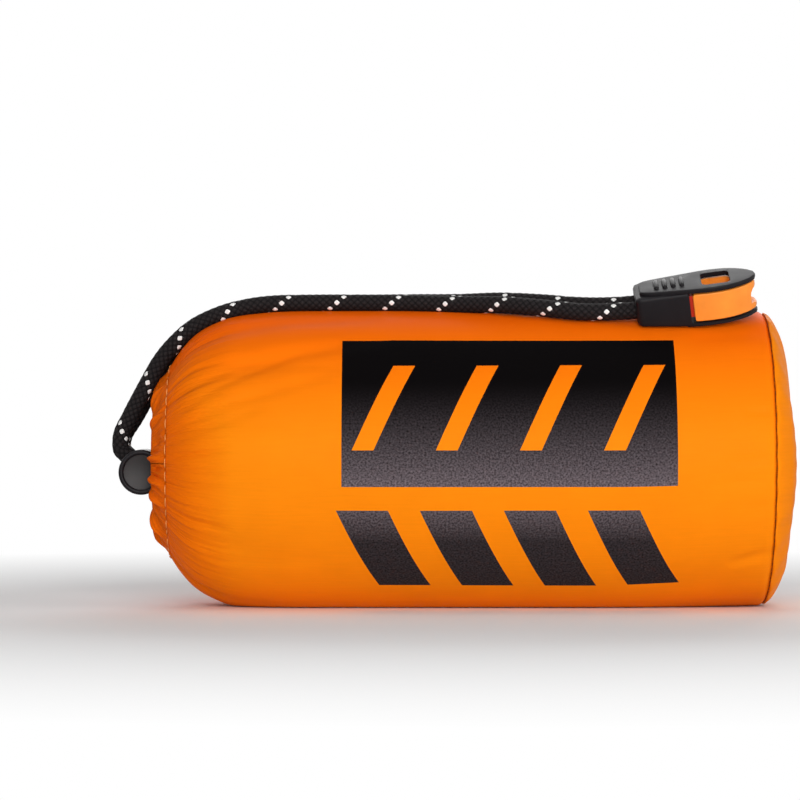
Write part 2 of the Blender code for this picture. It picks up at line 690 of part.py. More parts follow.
def main():
    clear_scene()
    cloth = material("orange_cloth", (0.9, 0.26, 0.02), 0.45)
    seam_cloth = material("seam_cloth", (0.8, 0.2, 0.02), 0.6)
    film = material("tent_film", (0.75, 0.78, 0.8), 0.25, 0.6)
    line = material("ridge_line", (0.85, 0.85, 0.8), 0.8)
    cord = material("black_cord", (0.012, 0.01, 0.01), 0.75)
    dark = material("lock_plastic", (0.03, 0.03, 0.032), 0.35)
    steel = material("spring_steel", (0.55, 0.56, 0.58), 0.3, 1.0)
    black = material("whistle_black", (0.025, 0.024, 0.026), 0.5)
    orange = material("whistle_orange", (0.9, 0.24, 0.02), 0.4)

    pivot = bpy.data.objects.new("whistle_pivot", None)
    out = Vector((0.0, -math.sin(WHISTLE_ROLL), math.cos(WHISTLE_ROLL)))
    reach = SACK_RADIUS + GAP + CORD_RADIUS
    pivot.location = Vector((PIVOT_STATION, 0.0, AXIS_HEIGHT)) + out * reach
    COLLECTION.objects.link(pivot)

    make_sack(cloth, seam_cloth)
    make_channel(cloth)
    make_tent(film, line)
    make_cord(cord)
    make_lock(dark, steel)
    make_whistle(black, orange, pivot)


main()
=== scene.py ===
# %% [markdown]
# # An emergency tube tent, packed in its drawcord sack
#
# A tube tent is one long sleeve of thin film. It is sold rolled up in a small sack of
# coated nylon, with a whistle on the sack's drawcord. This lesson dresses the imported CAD
# model: the rigid whistle and cord lock keep its shapes, and the cloth and the cords,
# which are soft, are modelled again with folds, seams and a real braid.

# %% Load the model
import math

import bmesh
import bpy
import numpy as np
from mathutils import Matrix, Vector, noise


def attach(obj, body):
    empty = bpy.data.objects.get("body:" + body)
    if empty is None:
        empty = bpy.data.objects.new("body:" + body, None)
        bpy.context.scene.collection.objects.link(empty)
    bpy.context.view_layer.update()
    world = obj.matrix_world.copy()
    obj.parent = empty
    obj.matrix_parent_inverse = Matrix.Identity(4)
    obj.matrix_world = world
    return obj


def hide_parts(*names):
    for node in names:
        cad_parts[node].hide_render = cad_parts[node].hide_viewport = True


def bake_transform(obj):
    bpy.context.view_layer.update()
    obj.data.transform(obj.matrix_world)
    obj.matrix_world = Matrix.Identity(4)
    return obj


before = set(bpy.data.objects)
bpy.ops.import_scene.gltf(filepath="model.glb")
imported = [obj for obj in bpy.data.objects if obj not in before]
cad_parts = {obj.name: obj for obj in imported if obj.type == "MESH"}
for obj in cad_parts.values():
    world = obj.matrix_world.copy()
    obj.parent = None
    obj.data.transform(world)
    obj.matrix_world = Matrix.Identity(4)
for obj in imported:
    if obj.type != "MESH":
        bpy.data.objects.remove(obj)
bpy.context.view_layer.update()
scene = bpy.context.scene

# %% [markdown]
# ## The camera
#
# The photograph looks straight at the sack's side, a little above its axis, from close by.
# The sack's axis is AXIS_HEIGHT over the floor, because its round side is flattened a
# little where it rests. A long lens at 0.8 m gives the same slight perspective.

# %% Camera
SACK_RADIUS = 0.0342
AXIS_HEIGHT = 0.0327
CAMERA_DISTANCE = 0.80
CAMERA_STATION = -0.0162
CAMERA_RISE = 0.0140
SENSOR_WIDTH = 36.0
VIEW_WIDTH = 0.1824

camera_data = bpy.data.cameras.new("camera")
camera_data.sensor_width = SENSOR_WIDTH
camera_data.lens = SENSOR_WIDTH * CAMERA_DISTANCE / VIEW_WIDTH
camera = bpy.data.objects.new("camera", camera_data)
camera.location = (CAMERA_STATION, -CAMERA_DISTANCE, AXIS_HEIGHT + CAMERA_RISE)
camera.rotation_euler = (math.pi / 2, 0.0, 0.0)
scene.collection.objects.link(camera)
scene.camera = camera
print("lens in mm:", round(camera_data.lens, 1))

# %% [markdown]
# ## Small helpers for meshes
#
# A cloth or a cord's cover is a flat sheet that goes round something. bmesh's create_grid
# makes the flat sheet, and each vertex is then moved to its place on the round form. A UV
# map keeps its flat place in metres, which a weave or a braid follows afterwards, however
# the piece bends. Where the sheet's two edges meet, they are merged, as a seam closes a
# tube.

# %% Mesh helpers
MERGE_DISTANCE = 2e-6


def new_piece(name, bm, finish, smooth=True):
    """Make an object of a bmesh, with one material."""
    mesh = bpy.data.meshes.new(name)
    bm.to_mesh(mesh)
    bm.free()
    mesh.materials.append(finish)
    if smooth:
        mesh.shade_smooth()
    piece = bpy.data.objects.new(name, mesh)
    scene.collection.objects.link(piece)
    return piece


def ease(share):
    """Go from 0 to 1 gently at both ends; takes a number or an array."""
    share = np.clip(share, 0.0, 1.0)
    return share * share * (3 - 2 * share)


def flat_sheet(along, around):
    """A grid with a row for each step along and around, and its (along, around) shares."""
    bm = bmesh.new()
    bmesh.ops.create_grid(bm, x_segments=along, y_segments=around, size=0.5)
    shares = np.array([(v.co.x + 0.5, v.co.y + 0.5) for v in bm.verts])
    return bm, shares


def wrap_sheet(bm, places, flat_places):
    """Move a flat sheet to its places, write its flat places as UV, and close its seam."""
    layer = bm.loops.layers.uv.new("flat")
    for vert in bm.verts:
        vert.co = places[vert.index]
    for face in bm.faces:
        for loop in face.loops:
            loop[layer].uv = flat_places[loop.vert.index]
    bmesh.ops.remove_doubles(bm, verts=bm.verts, dist=MERGE_DISTANCE)
    bmesh.ops.recalc_face_normals(bm, faces=bm.faces)


def smooth_route(points, step):
    """Points about a step apart on the smooth curve through a route's own points."""
    route = [Vector(p) for p in points]
    ends = [2 * route[0] - route[1], *route, 2 * route[-1] - route[-2]]
    fine = []
    for a, b, c, d in zip(ends, ends[1:], ends[2:], ends[3:]):
        parts = max(1, round((c - b).length / step))
        for k in range(parts):
            t = k / parts
            fine.append(
                0.5 * (2 * b + (c - a) * t + (2 * a - 5 * b + 4 * c - d) * t * t
                       + (3 * b - a - 3 * c + d) * t ** 3)
            )
    fine.append(route[-1])
    return fine


def even_route(points, step):
    """The same line with its points evenly spaced, and its length."""
    line = np.array([tuple(p) for p in points])
    run = np.concatenate([[0.0], np.cumsum(np.linalg.norm(np.diff(line, axis=0), axis=1))])
    stops = np.linspace(0.0, run[-1], max(2, round(run[-1] / step)) + 1)
    even = np.stack([np.interp(stops, run, line[:, k]) for k in range(3)], axis=1)
    return even, run[-1]


print("mesh helpers are ready")

# %% [markdown]
# ## Materials
#
# Every finish is a Principled shader. A bump made from the weave, the braid or the fine
# grain of moulded plastic gives each surface its own small-scale look. The helper makes
# the nodes by type, sets their values and joins them by socket name.


# %% Material helper
class Finish:
    """A material whose nodes are added and joined one at a time."""

    def __init__(self, name, colour, roughness):
        self.material = bpy.data.materials.new(name)
        self.material.use_nodes = True
        self.nodes = self.material.node_tree.nodes
        self.links = self.material.node_tree.links
        self.shader = self.nodes["Principled BSDF"]
        self.set("Base Color", (*colour, 1.0))
        self.set("Roughness", roughness)

    def set(self, socket, value):
        self.shader.inputs[socket].default_value = value

    def add(self, kind, **inputs):
        """Add a node. An input is a value or another node's socket; others are settings."""
        node = self.nodes.new("ShaderNode" + kind)
        for key in [key for key in inputs if hasattr(node, key)]:
            setattr(node, key, inputs.pop(key))
        for key, value in inputs.items():
            name = key.replace("_", " ")
            socket = node.inputs[int(key[1:])] if key[0] == "i" and key[1:].isdigit() else None
            if socket is None:
                socket = next(s for s in node.inputs if s.name == name and s.enabled)
            if isinstance(value, bpy.types.NodeSocket):
                self.links.new(value, socket)
            else:
                socket.default_value = value
        return node

    def math(self, operation, *values):
        """A Math node's result, for one, two or three numbers or sockets."""
        inputs = {f"i{k}": value for k, value in enumerate(values)}
        return self.add("Math", operation=operation, **inputs).outputs[0]

    def between(self, value, low, high):
        """A mask: 1 between two values, and 0 outside them."""
        return self.math("MULTIPLY", self.math("GREATER_THAN", value, low),
                         self.math("LESS_THAN", value, high))

    def ramp(self, high, low, reach):
        """How far one value is past another, as a share of a reach, from 0 to 1."""
        share = self.math("DIVIDE", self.math("SUBTRACT", high, low), reach)
        return self.add("Clamp", Value=share).outputs[0]

    def mix(self, share, low, high):
        """A colour between two, by a share."""
        node = self.add("Mix", data_type="RGBA")
        sockets = [s for s in node.inputs if s.enabled]
        for socket, value in zip(sockets, (share, low, high)):
            if isinstance(value, bpy.types.NodeSocket):
                self.links.new(value, socket)
            else:
                socket.default_value = value if socket.type == "VALUE" else (*value, 1.0)
        return next(s for s in node.outputs if s.enabled)

    def colour(self, socket):
        self.links.new(socket, self.shader.inputs["Base Color"])

    def rough(self, socket):
        self.links.new(socket, self.shader.inputs["Roughness"])

    def bump(self, height, depth, under=None):
        """Join a height as bump, on top of another bump if there is one."""
        node = self.add("Bump", Height=height, Distance=depth)
        if under is not None:
            self.links.new(under, node.inputs["Normal"])
        self.links.new(node.outputs[0], self.shader.inputs["Normal"])
        return node.outputs[0]


print("the material helper is ready")

# %% [markdown]
# ## The braided drawcord's finish
#
# The drawcord is 4 mm utility cord: a woven cover of sixteen yarns, eight turning each
# way, over a straight core. Seen close, each crossing is a small diamond. One yarn is a
# white tracer, so it shows as short diagonal rows of white diamonds that come round again
# every 12.5 mm. The UV map gives the distance along the cord and round it, so the two yarn
# families are two sloped stripes, and a crossing is over or under like a chequerboard.

# %% Braid finish
CORD_DIAMETER = 0.004
CORD_RADIUS = CORD_DIAMETER / 2
YARNS = 8
TRACER_PITCH = 0.0125
YARN_THREADS = 10
THREAD_SHARE = 0.12
BRAID_DEPTH = 0.00012
TRACER_EDGE = 0.32


def braid_finish(name):
    """Black braid in which one yarn is a white tracer."""
    finish = Finish(name, (0.012, 0.010, 0.011), 0.62)
    flat = finish.add("UVMap", uv_map="flat").outputs[0]
    split = finish.add("SeparateXYZ", Vector=flat)
    along = finish.math("MULTIPLY", split.outputs[0], YARNS / TRACER_PITCH)
    turn = finish.math("MULTIPLY", split.outputs[1], YARNS / (2 * math.pi * CORD_RADIUS))
    first = finish.math("ADD", along, turn)
    second = finish.math("SUBTRACT", along, turn)
    over = finish.math("MODULO", finish.math("ADD", finish.math("FLOOR", first),
                                             finish.math("FLOOR", second)), 2.0)
    over = finish.math("ABSOLUTE", over)
    waves = [finish.math("ABSOLUTE", finish.math("SINE", finish.math("MULTIPLY", yarn, math.pi)))
             for yarn in (first, second)]
    height = finish.math("POWER", finish.math("MULTIPLY", *waves), 0.5)
    threads = finish.add("Mix", data_type="FLOAT", Factor=over, A=first, B=second).outputs[0]
    threads = finish.math("SINE", finish.math("MULTIPLY", threads, YARN_THREADS * math.pi))
    threads = finish.math("MULTIPLY", threads, THREAD_SHARE)
    finish.bump(finish.math("ADD", height, threads), BRAID_DEPTH)
    # Painted glints: the raised yarn crowns are mixed towards a lighter grey, broken up by fine
    # noise.
    painted_glint = finish.add("TexNoise", Vector=flat, Scale=2600.0, Detail=2.0).outputs[0]
    black = finish.mix(finish.math("MULTIPLY", height, painted_glint), (0.003, 0.0025, 0.003),
                       (0.040, 0.034, 0.034))
    yarn = finish.math("FLOORED_MODULO", finish.math("FLOOR", first), float(YARNS))
    tracer = finish.math("MULTIPLY", finish.math("LESS_THAN", yarn, 0.5),
                         finish.math("LESS_THAN", over, 0.5))
    tracer = finish.math("MULTIPLY", tracer, finish.math("GREATER_THAN", height, TRACER_EDGE))
    finish.colour(finish.mix(tracer, black, (0.86, 0.85, 0.83)))
    finish.set("Specular IOR Level", 0.06)
    return finish.material


cord_braid = braid_finish("cord_braid")
print("tracer shows every", TRACER_PITCH * 1000, "mm")

# %% [markdown]
# ## The cord's route
#
# The doubled cord leaves the lock at the sack's mouth, climbs over the shoulder, lies
# along the top and drifts to the front, where it enters the whistle's sleeve. These are
# the CAD model's own route points: along the sack, across it and over its axis. The rear
# strand lies beside the front one. The cord's cover is a flat sheet wrapped round the
# route, with rings close enough together to carry the swelling of each yarn.

# %% Drawcord
LOCK_CENTRE = Vector((-0.0746, 0.0, AXIS_HEIGHT - 0.0023))
LOCK_TILT = math.radians(45)
LOCK_WAY = Vector((-math.cos(LOCK_TILT), 0.0, math.sin(LOCK_TILT)))
STRAND_PITCH = 0.0043
STRAND_ROUTE = [
    (-0.0788, -0.0021, 0.0019), (-0.0796, -0.0021, 0.0027), (-0.0795, -0.0021, 0.0062),
    (-0.0776, -0.0022, 0.0102), (-0.0760, -0.0022, 0.0140), (-0.0741, -0.0023, 0.0182),
    (-0.0715, -0.0023, 0.0230), (-0.0683, -0.0024, 0.0274), (-0.0640, -0.0024, 0.0312),
    (-0.0586, -0.0025, 0.0339), (-0.0525, -0.0025, 0.0356), (-0.0450, -0.0026, 0.0366),
    (-0.0350, -0.0027, 0.0368), (-0.0240, -0.0028, 0.0368), (-0.0130, -0.0033, 0.0367),
    (-0.0030, -0.0050, 0.0364), (0.0065, -0.0083, 0.0357), (0.0155, -0.0118, 0.0347),
    (0.0235, -0.0143, 0.0338), (0.0300, -0.0150, 0.0337), (0.0366, -0.0154, 0.0341),
    (0.0405, -0.0156, 0.0347),
]
REAR_OFFSETS = [
    (0.0, 0.0043, 0.0), (0.0, 0.0043, 0.0), (0.0003, 0.0043, -0.0002),
    (0.0008, 0.0043, -0.0003), (0.0010, 0.0043, -0.0002), (0.0008, 0.0043, -0.0002),
    (0.0006, 0.0043, -0.0002), (0.0004, 0.0043, -0.0001), (0.0002, 0.0043, 0.0),
    (0.0, 0.0043, 0.0), (0.0, 0.0043, 0.0), (0.0, 0.0043, 0.0),
    (0.0, 0.0043, 0.0), (0.0, 0.0043, 0.0001), (0.0, 0.0043, 0.0003),
    (0.0, 0.0043, 0.0006), (0.0, 0.0042, 0.0010), (0.0, 0.0041, 0.0013),
    (0.0, 0.0040, 0.0015), (0.0, 0.0040, 0.0015), (0.0, 0.0040, 0.0015),
    (0.0, 0.0040, 0.0015),
]
LEAD_ROUTE = [
    (-0.0690, -0.0022, -0.0074), (-0.0672, -0.0031, -0.0083), (-0.0656, -0.0063, -0.0086),
    (-0.0656, -0.0097, -0.0069), (-0.0670, -0.0123, -0.0037), (-0.0687, -0.0132, 0.0006),
]
CORD_RING_STEP = 0.00026
CORD_SIDES = 48
YARN_SWELL, SWELL_MIDDLE = 0.00008, 0.4
CORD_SINK = 0.0001
ROUTE_STEP = 0.001
# How far the cloth gives way under a strand, and where this comes and goes along it.
CORD_SETTLE = 0.00075
SETTLE_START, SETTLE_IN = -0.0740, 0.006
SETTLE_END, SETTLE_OUT = 0.0120, 0.015
CLIMB_SETTLE = 0.0008
CLIMB_START, CLIMB_REACH = 0.0090, 0.010
TOP_START, TOP_REACH = -0.0600, 0.014
# A strand starts inside the lock. Its climb has more than CLIMB_POINTS points and ends
# over REST_START.
STRAND_START = 0.0043
REST_START = -0.0450
CLIMB_POINTS = 20


def on_axis(point):
    """A station, a place across and a height over the sack's axis, as a place."""
    return Vector((point[0], point[1], point[2] + AXIS_HEIGHT))


def settled(point):
    """A strand's point, pressed down and in as far as the soft cloth under it gives way."""
    press = (ease((point[0] - SETTLE_START) / SETTLE_IN)
             * ease((SETTLE_END - point[0]) / SETTLE_OUT))
    over = ease((point[0] - TOP_START) / TOP_REACH)
    lean = CLIMB_SETTLE * ease((point[2] - CLIMB_START) / CLIMB_REACH) * (1 - over)
    return on_axis((point[0] + lean, point[1], point[2] - CORD_SETTLE * press))


def cord_piece(name, points, start=0.0):
    """A braided cover round a line of points; start is how far along the cord it begins."""
    path, length = even_route(points, CORD_RING_STEP)
    rings = len(path) - 1
    bm, shares = flat_sheet(rings, CORD_SIDES)
    ways = np.gradient(path, axis=0)
    ways /= np.linalg.norm(ways, axis=1, keepdims=True)
    side = Vector((0.0, 1.0, 0.0))
    sides, ups = [], []
    for way in ways:
        way = Vector(way)
        side = (side - way * side.dot(way)).normalized()
        sides.append(side)
        ups.append(way.cross(side))
    sides, ups = np.array(sides), np.array(ups)
    row = np.rint(shares[:, 0] * rings).astype(int)
    angle = shares[:, 1] * 2 * np.pi
    along = start + shares[:, 0] * length
    first = along * YARNS / TRACER_PITCH - shares[:, 1] * YARNS
    second = along * YARNS / TRACER_PITCH + shares[:, 1] * YARNS
    height = np.sqrt(np.abs(np.sin(np.pi * first) * np.sin(np.pi * second)))
    radius = CORD_RADIUS - CORD_SINK + YARN_SWELL * (height - SWELL_MIDDLE)
    places = (path[row] + sides[row] * (radius * np.cos(angle))[:, None]
              + ups[row] * (radius * np.sin(angle))[:, None])
    around = shares[:, 1] * 2 * math.pi * CORD_RADIUS
    wrap_sheet(bm, places, np.stack([along, around], axis=1))
    bmesh.ops.holes_fill(bm, edges=[e for e in bm.edges if e.is_boundary], sides=0)
    bmesh.ops.recalc_face_normals(bm, faces=bm.faces)
    piece = new_piece(name, bm, cord_braid)
    return piece, path, length


def strand(side, route, node):
    """One strand in two lengths: lock to shoulder, and shoulder to whistle."""
    inside = LOCK_CENTRE + LOCK_WAY * STRAND_START + Vector((0.0, route[0][1], 0.0))
    fine = smooth_route([inside, *[settled(point) for point in route]], ROUTE_STEP)
    split = min(range(CLIMB_POINTS + 1, len(fine)), key=lambda k: abs(fine[k].x - REST_START))
    climb, climb_path, climb_length = cord_piece(f"{side}_strand_climb", fine[:split + 1])
    rest, rest_path, rest_length = cord_piece(
        f"{side}_strand_top", fine[split:], start=climb_length)
    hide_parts(node)
    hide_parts(node)
    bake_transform(climb)
    print(side, "strand in mm:", round(climb_length * 1000, 1), round(rest_length * 1000, 1))
    return climb, climb_path, climb_length, rest, rest_path, rest_length


rear_route = [tuple(a + b for a, b in zip(p, q)) for p, q in zip(STRAND_ROUTE, REAR_OFFSETS)]
front_strand = strand("front", STRAND_ROUTE, "drawcord_front_strand")
rear_strand = strand("rear", rear_route, "drawcord_rear_strand")

# %% [markdown]
# ## The ends of the strands
#
# Each strand's lengths were measured when they were made. The top length is fixed in
# place here, and the point where it bends near the whistle is found and printed.

PIVOT_STATION = 0.021
PIVOT_ROWS = 8
BEND_REACH = 0.009
for climb, climb_path, climb_length, rest, rest_path, rest_length in (front_strand, rear_strand):
    pivot_row = int(np.argmin(np.abs(rest_path[:, 0] - PIVOT_STATION)))
    middle = rest_path[pivot_row]
    ahead = rest_path[pivot_row + PIVOT_ROWS] - rest_path[pivot_row - PIVOT_ROWS]
    ahead = ahead / np.linalg.norm(ahead) * BEND_REACH
    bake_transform(rest)
    print(rest.name, "bends at", [round(value * 1000, 1) for value in middle], "mm")

# %% [markdown]
# ## The cord in the lock and the hem
#
# The same cord goes through the lock and on round the hem. The two short leads between
# lock and hem show from the side. The rest is inside the hem and stays with the sack.

# %% Channel cord
CHANNEL_STATION = -0.0696
CHANNEL_RADIUS = 0.0133
LOOP_START = math.radians(112)
LOOP_POINTS = 17
LOCK_EXIT = 0.0042
LEAD_STEP = 0.0008


def lock_place(along, side):
    """A place along the lock's cord slot, from its middle towards the strands."""
    return LOCK_CENTRE + LOCK_WAY * along + Vector((0.0, side, 0.0))


near = [lock_place(LOCK_EXIT * share, -STRAND_PITCH / 2) for share in (1, 0, -1)]
near += [on_axis(point) for point in LEAD_ROUTE]
ring = []
for k in range(LOOP_POINTS):
    angle = LOOP_START - 2 * LOOP_START * k / (LOOP_POINTS - 1)
    ring.append(on_axis((CHANNEL_STATION, -CHANNEL_RADIUS * math.sin(math.pi - angle),
                         -CHANNEL_RADIUS * math.cos(math.pi - angle))))
lead_end = len(near) - 2
for name, mirror in (("front_lead", 1), ("rear_lead", -1)):
    points = [Vector((p.x, p.y * mirror, p.z)) for p in near[:lead_end + 1]]
    fine = smooth_route(points, LEAD_STEP)
    lead, lead_path, lead_length = cord_piece(name, fine)
    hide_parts("drawcord_channel_loop")
    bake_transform(lead)
    print(name, "in mm:", round(lead_length * 1000, 1))
around = [*near[lead_end:], *ring, *[Vector((p.x, -p.y, p.z)) for p in reversed(near[lead_end:])]]
channel_cord, channel_path, channel_length = cord_piece(
    "channel_cord", smooth_route(around, ROUTE_STEP), start=lead_length)
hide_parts("drawcord_channel_loop")
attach(channel_cord, "sack")
print("cord round the hem in mm:", round(channel_length * 1000, 1))

# %% [markdown]
# ## The sack's cloth
#
# The sack is sewn from thin coated nylon. One flat piece goes round the tent and is closed
# by a seam at the back. Its mouth end is gathered on the drawcord, so the cloth there
# falls into folds that start sharp at the stitches and fade over the shoulder. A flat
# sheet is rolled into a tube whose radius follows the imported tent, and every vertex is
# then moved inwards along the folds. Folds are valleys in the cloth: the fullness
# between them stays where the roll inside holds it out.

# %% Sack profile
PROFILE = [
    (0.0662, 0.0331), (0.0608, 0.03358), (0.0482, 0.03393), (0.0302, 0.0342),
    (0.0150, 0.0342), (0.0000, 0.0342), (-0.0200, 0.0342), (-0.0363, 0.0342),
    (-0.0435, 0.0340), (-0.0503, 0.0334), (-0.0550, 0.0326), (-0.0593, 0.0309),
    (-0.0619, 0.0294), (-0.0640, 0.0276), (-0.0662, 0.0249), (-0.0684, 0.0214),
]
MOUTH_STITCH = -0.0683
BASE_SEAM = 0.0662
BASE_LIFT = 0.0007
TAIL_START = 0.0302
REST_HEIGHT = 0.0001
PROFILE_STEP, FINE_STEP = 0.0008, 0.0001
CLOTH_STAND = 0.00035
CLOTH_THICKNESS = 0.0002


def profile_line(points, count):
    """Evenly spaced stations and radii on the smooth curve through a profile."""
    smooth = smooth_route([(x, r, 0.0) for x, r in points], PROFILE_STEP)
    even, length = even_route(smooth, FINE_STEP)
    pick = np.linspace(0, len(even) - 1, count).round().astype(int)
    return even[pick, 0], even[pick, 1], length


def round_sheet(profile, along, around):
    """A flat sheet, with each vertex's shares, its place on a profile, and its turn."""
    stations, radii, length = profile_line(profile, along + 1)
    bm, shares = flat_sheet(along, around)
    row = np.rint(shares[:, 0] * along).astype(int)
    turn = shares[:, 1] * 2 * np.pi + np.pi
    return bm, shares, stations[row], radii[row], turn, length


def cloth_place(station, radius, angle):
    """A place round the sack's axis; angle 0 faces the camera and a quarter turn is up."""
    lift = BASE_LIFT * ease((station - TAIL_START) / (BASE_SEAM - TAIL_START))
    height = np.maximum(radius * np.sin(angle) + lift, REST_HEIGHT - AXIS_HEIGHT)
    return np.stack([station, -radius * np.cos(angle), height + AXIS_HEIGHT], axis=1)


def cloth_piece(name, bm, finish, node):
    """A piece of the sack's cloth, thickened inwards, that stands for a node."""
    piece = new_piece(name, bm, finish)
    thickness = piece.modifiers.new("thickness", "SOLIDIFY")
    thickness.thickness = CLOTH_THICKNESS
    thickness.offset = -1.0
    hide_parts(node)
    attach(piece, "sack")
    return piece


print("mouth stitches to base seam in mm:", round((BASE_SEAM - MOUTH_STITCH) * 1000, 1))

# %% [markdown]
# ## The gathers
#
# The drawcord gathers the mouth into folds of all sizes. Each has its own place, depth,
# reach, width and lean, drawn at random from a fixed seed, so that every run makes the
# same sack. A fold is narrow at the stitches and widens as it fades over the shoulder.

# %% Gathers
FOLD_SEED = 11
GATHERS = 21
GATHER_DEPTH = 0.0015
FOLD_SPREAD = 0.03
FOLD_EDGE, FOLD_FADE = 1.4, 1.3
rng = np.random.default_rng(FOLD_SEED)
fold_places = (np.arange(GATHERS) + rng.uniform(-0.32, 0.32, GATHERS)) * 2 * np.pi / GATHERS
fold_depths = rng.uniform(0.35, 1.0, GATHERS)
fold_reaches = rng.uniform(0.006, 0.030, GATHERS)
fold_widths = rng.uniform(0.030, 0.075, GATHERS)
fold_leans = rng.uniform(-4.0, 4.0, GATHERS)


def gather_valleys(angle, back):
    """How deep the gathers are (0 to about 1), at an angle, some way back from the stitch."""
    depth = np.zeros_like(angle)
    for place, deep, reach, wide, lean in zip(
            fold_places, fold_depths, fold_reaches, fold_widths, fold_leans):
        away = (angle - place - lean * back + np.pi) % (2 * np.pi) - np.pi
        width = wide * (1 + back / FOLD_SPREAD)
        depth += (deep * np.exp(-np.abs(away / width) ** FOLD_EDGE)
                  * np.exp(-((back / reach) ** FOLD_FADE)))
    return depth


print("folds at the mouth:", GATHERS)

# %% [markdown]
# ## The creases
#
# A few longer creases run over the shoulder and in from the base seam. Those in front
# follow the photograph, and those behind are guessed. The cloth dips along the line of
# each. Slow waves keep the rest from looking as if it were turned on a lathe.

# %% Creases
# Start and end as (station, angle), then width and depth. The angle is counted from the
# camera's side, and up over the top.
CREASE_HEAD = 0.15
CREASE_FADE = 0.7
CREASES = [
    ((-0.0655, 0.30), (-0.030, 0.62), 0.0016, 0.00050),
    ((-0.0660, 0.42), (-0.038, 0.80), 0.0013, 0.00045),
    ((-0.0650, 0.62), (-0.028, 0.86), 0.0018, 0.00050),
    ((-0.0560, 0.70), (-0.018, 0.92), 0.0024, 0.00040),
    ((-0.0670, 0.18), (-0.044, 0.40), 0.0012, 0.00035),
    ((-0.0672, 0.05), (-0.054, 0.09), 0.0008, 0.00080),
    ((-0.0672, -0.44), (-0.053, -0.46), 0.0008, 0.00075),
    ((-0.0640, -0.62), (-0.036, -0.60), 0.0020, 0.00030),
    ((-0.0580, -0.72), (-0.030, -0.66), 0.0016, 0.00025),
    ((-0.0600, 1.10), (-0.020, 1.22), 0.0026, 0.00045),
    ((0.0655, 0.32), (0.0590, 0.32), 0.0008, 0.00030),
    ((0.0655, 0.02), (0.0540, -0.01), 0.0010, 0.00026),
    ((0.0655, -0.12), (0.0520, -0.14), 0.0012, 0.00026),
    ((0.0655, -0.30), (0.0560, -0.32), 0.0012, 0.00024),
    ((0.0650, -0.66), (0.0560, -0.74), 0.0014, 0.00050),
    ((0.0640, 1.02), (0.0480, 0.92), 0.0030, 0.00040),
    ((0.0600, -0.95), (0.0300, -0.85), 0.0050, 0.00030),
    ((0.0655, 2.30), (0.0500, 2.20), 0.0020, 0.00040),
    ((0.0655, 3.40), (0.0480, 3.30), 0.0022, 0.00045),
    ((-0.0640, 2.30), (-0.0300, 2.05), 0.0022, 0.00055),
    ((-0.0640, 3.00), (-0.0350, 3.10), 0.0020, 0.00050),
    ((-0.0640, 4.20), (-0.0320, 4.05), 0.0024, 0.00050),
]


def crease_valleys(station, angle):
    """How far in the named creases draw the cloth, in metres."""
    depth = np.zeros_like(angle)
    for (x0, a0), (x1, a1), width, deep in CREASES:
        turn = (angle - a0 + np.pi) % (2 * np.pi) - np.pi
        start = np.array([x0, 0.0])
        way = np.array([x1 - x0, (a1 - a0) * SACK_RADIUS])
        spot = np.stack([station, turn * SACK_RADIUS], axis=1) - start
        share = np.clip(spot @ way / (way @ way), 0.0, 1.0)
        away = np.linalg.norm(spot - share[:, None] * way, axis=1)
        shown = np.clip(CREASE_HEAD + (1 - CREASE_HEAD) * share, 0, 1)
        fade = np.sin(np.pi * shown) ** CREASE_FADE
        depth += deep * fade * np.exp(-((away / width) ** 2))
    return depth


def soft_waves(station, angle, size):
    """Slow unevenness of cloth over a rolled-up bundle, from -1 to 1."""
    values = np.empty(len(angle))
    for k, (x, a) in enumerate(zip(station, angle)):
        values[k] = noise.noise(Vector((x / size * 0.5, math.cos(a) * SACK_RADIUS / size,
                                        math.sin(a) * SACK_RADIUS / size)))
    return values


print("creases:", len(CREASES))

# %% [markdown]
# ## The print
#
# The printed panel is left without words: a black panel with slanted bars left bare in
# it, and a row of slanted black bars under it, in places that the UV map gives in metres.
# Each bar is a product of masks, so no picture is needed. A sheen is painted on the ink:
# it is greyer towards the panel's lower edge, not at its top, and only a little on the row
# of bars, and fine specks, standing for the cloth's grain, break the painted sheen up.

# %% The print
PRINT_LEFT, PRINT_RIGHT = -0.0290, 0.0445
PANEL_LOW, PANEL_HIGH = -0.0050, 0.0313
ROW_LOW, ROW_HIGH = -0.0313, -0.0103
PANEL_INSET = 0.22
BARS = 4
BAR_SLANT = 0.45
BARE_FILL, ROW_FILL = 0.26, 0.62


def slanted_bars(finish, u, v, low, high, slant, fill):
    """A mask of slanted bars across the print's length, inset from its ends."""
    lean = finish.math("MULTIPLY", finish.math("SUBTRACT", v, (low + high) / 2), slant)
    share = finish.math("SUBTRACT", finish.math("SUBTRACT", u, lean), PRINT_LEFT)
    share = finish.math("MULTIPLY", share, BARS / (PRINT_RIGHT - PRINT_LEFT))
    bar = finish.between(finish.math("FRACT", share), 0.5 - fill / 2, 0.5 + fill / 2)
    inside = finish.math("MULTIPLY", finish.between(share, 0.0, BARS),
                         finish.between(v, low, high))
    return finish.math("MULTIPLY", bar, inside)


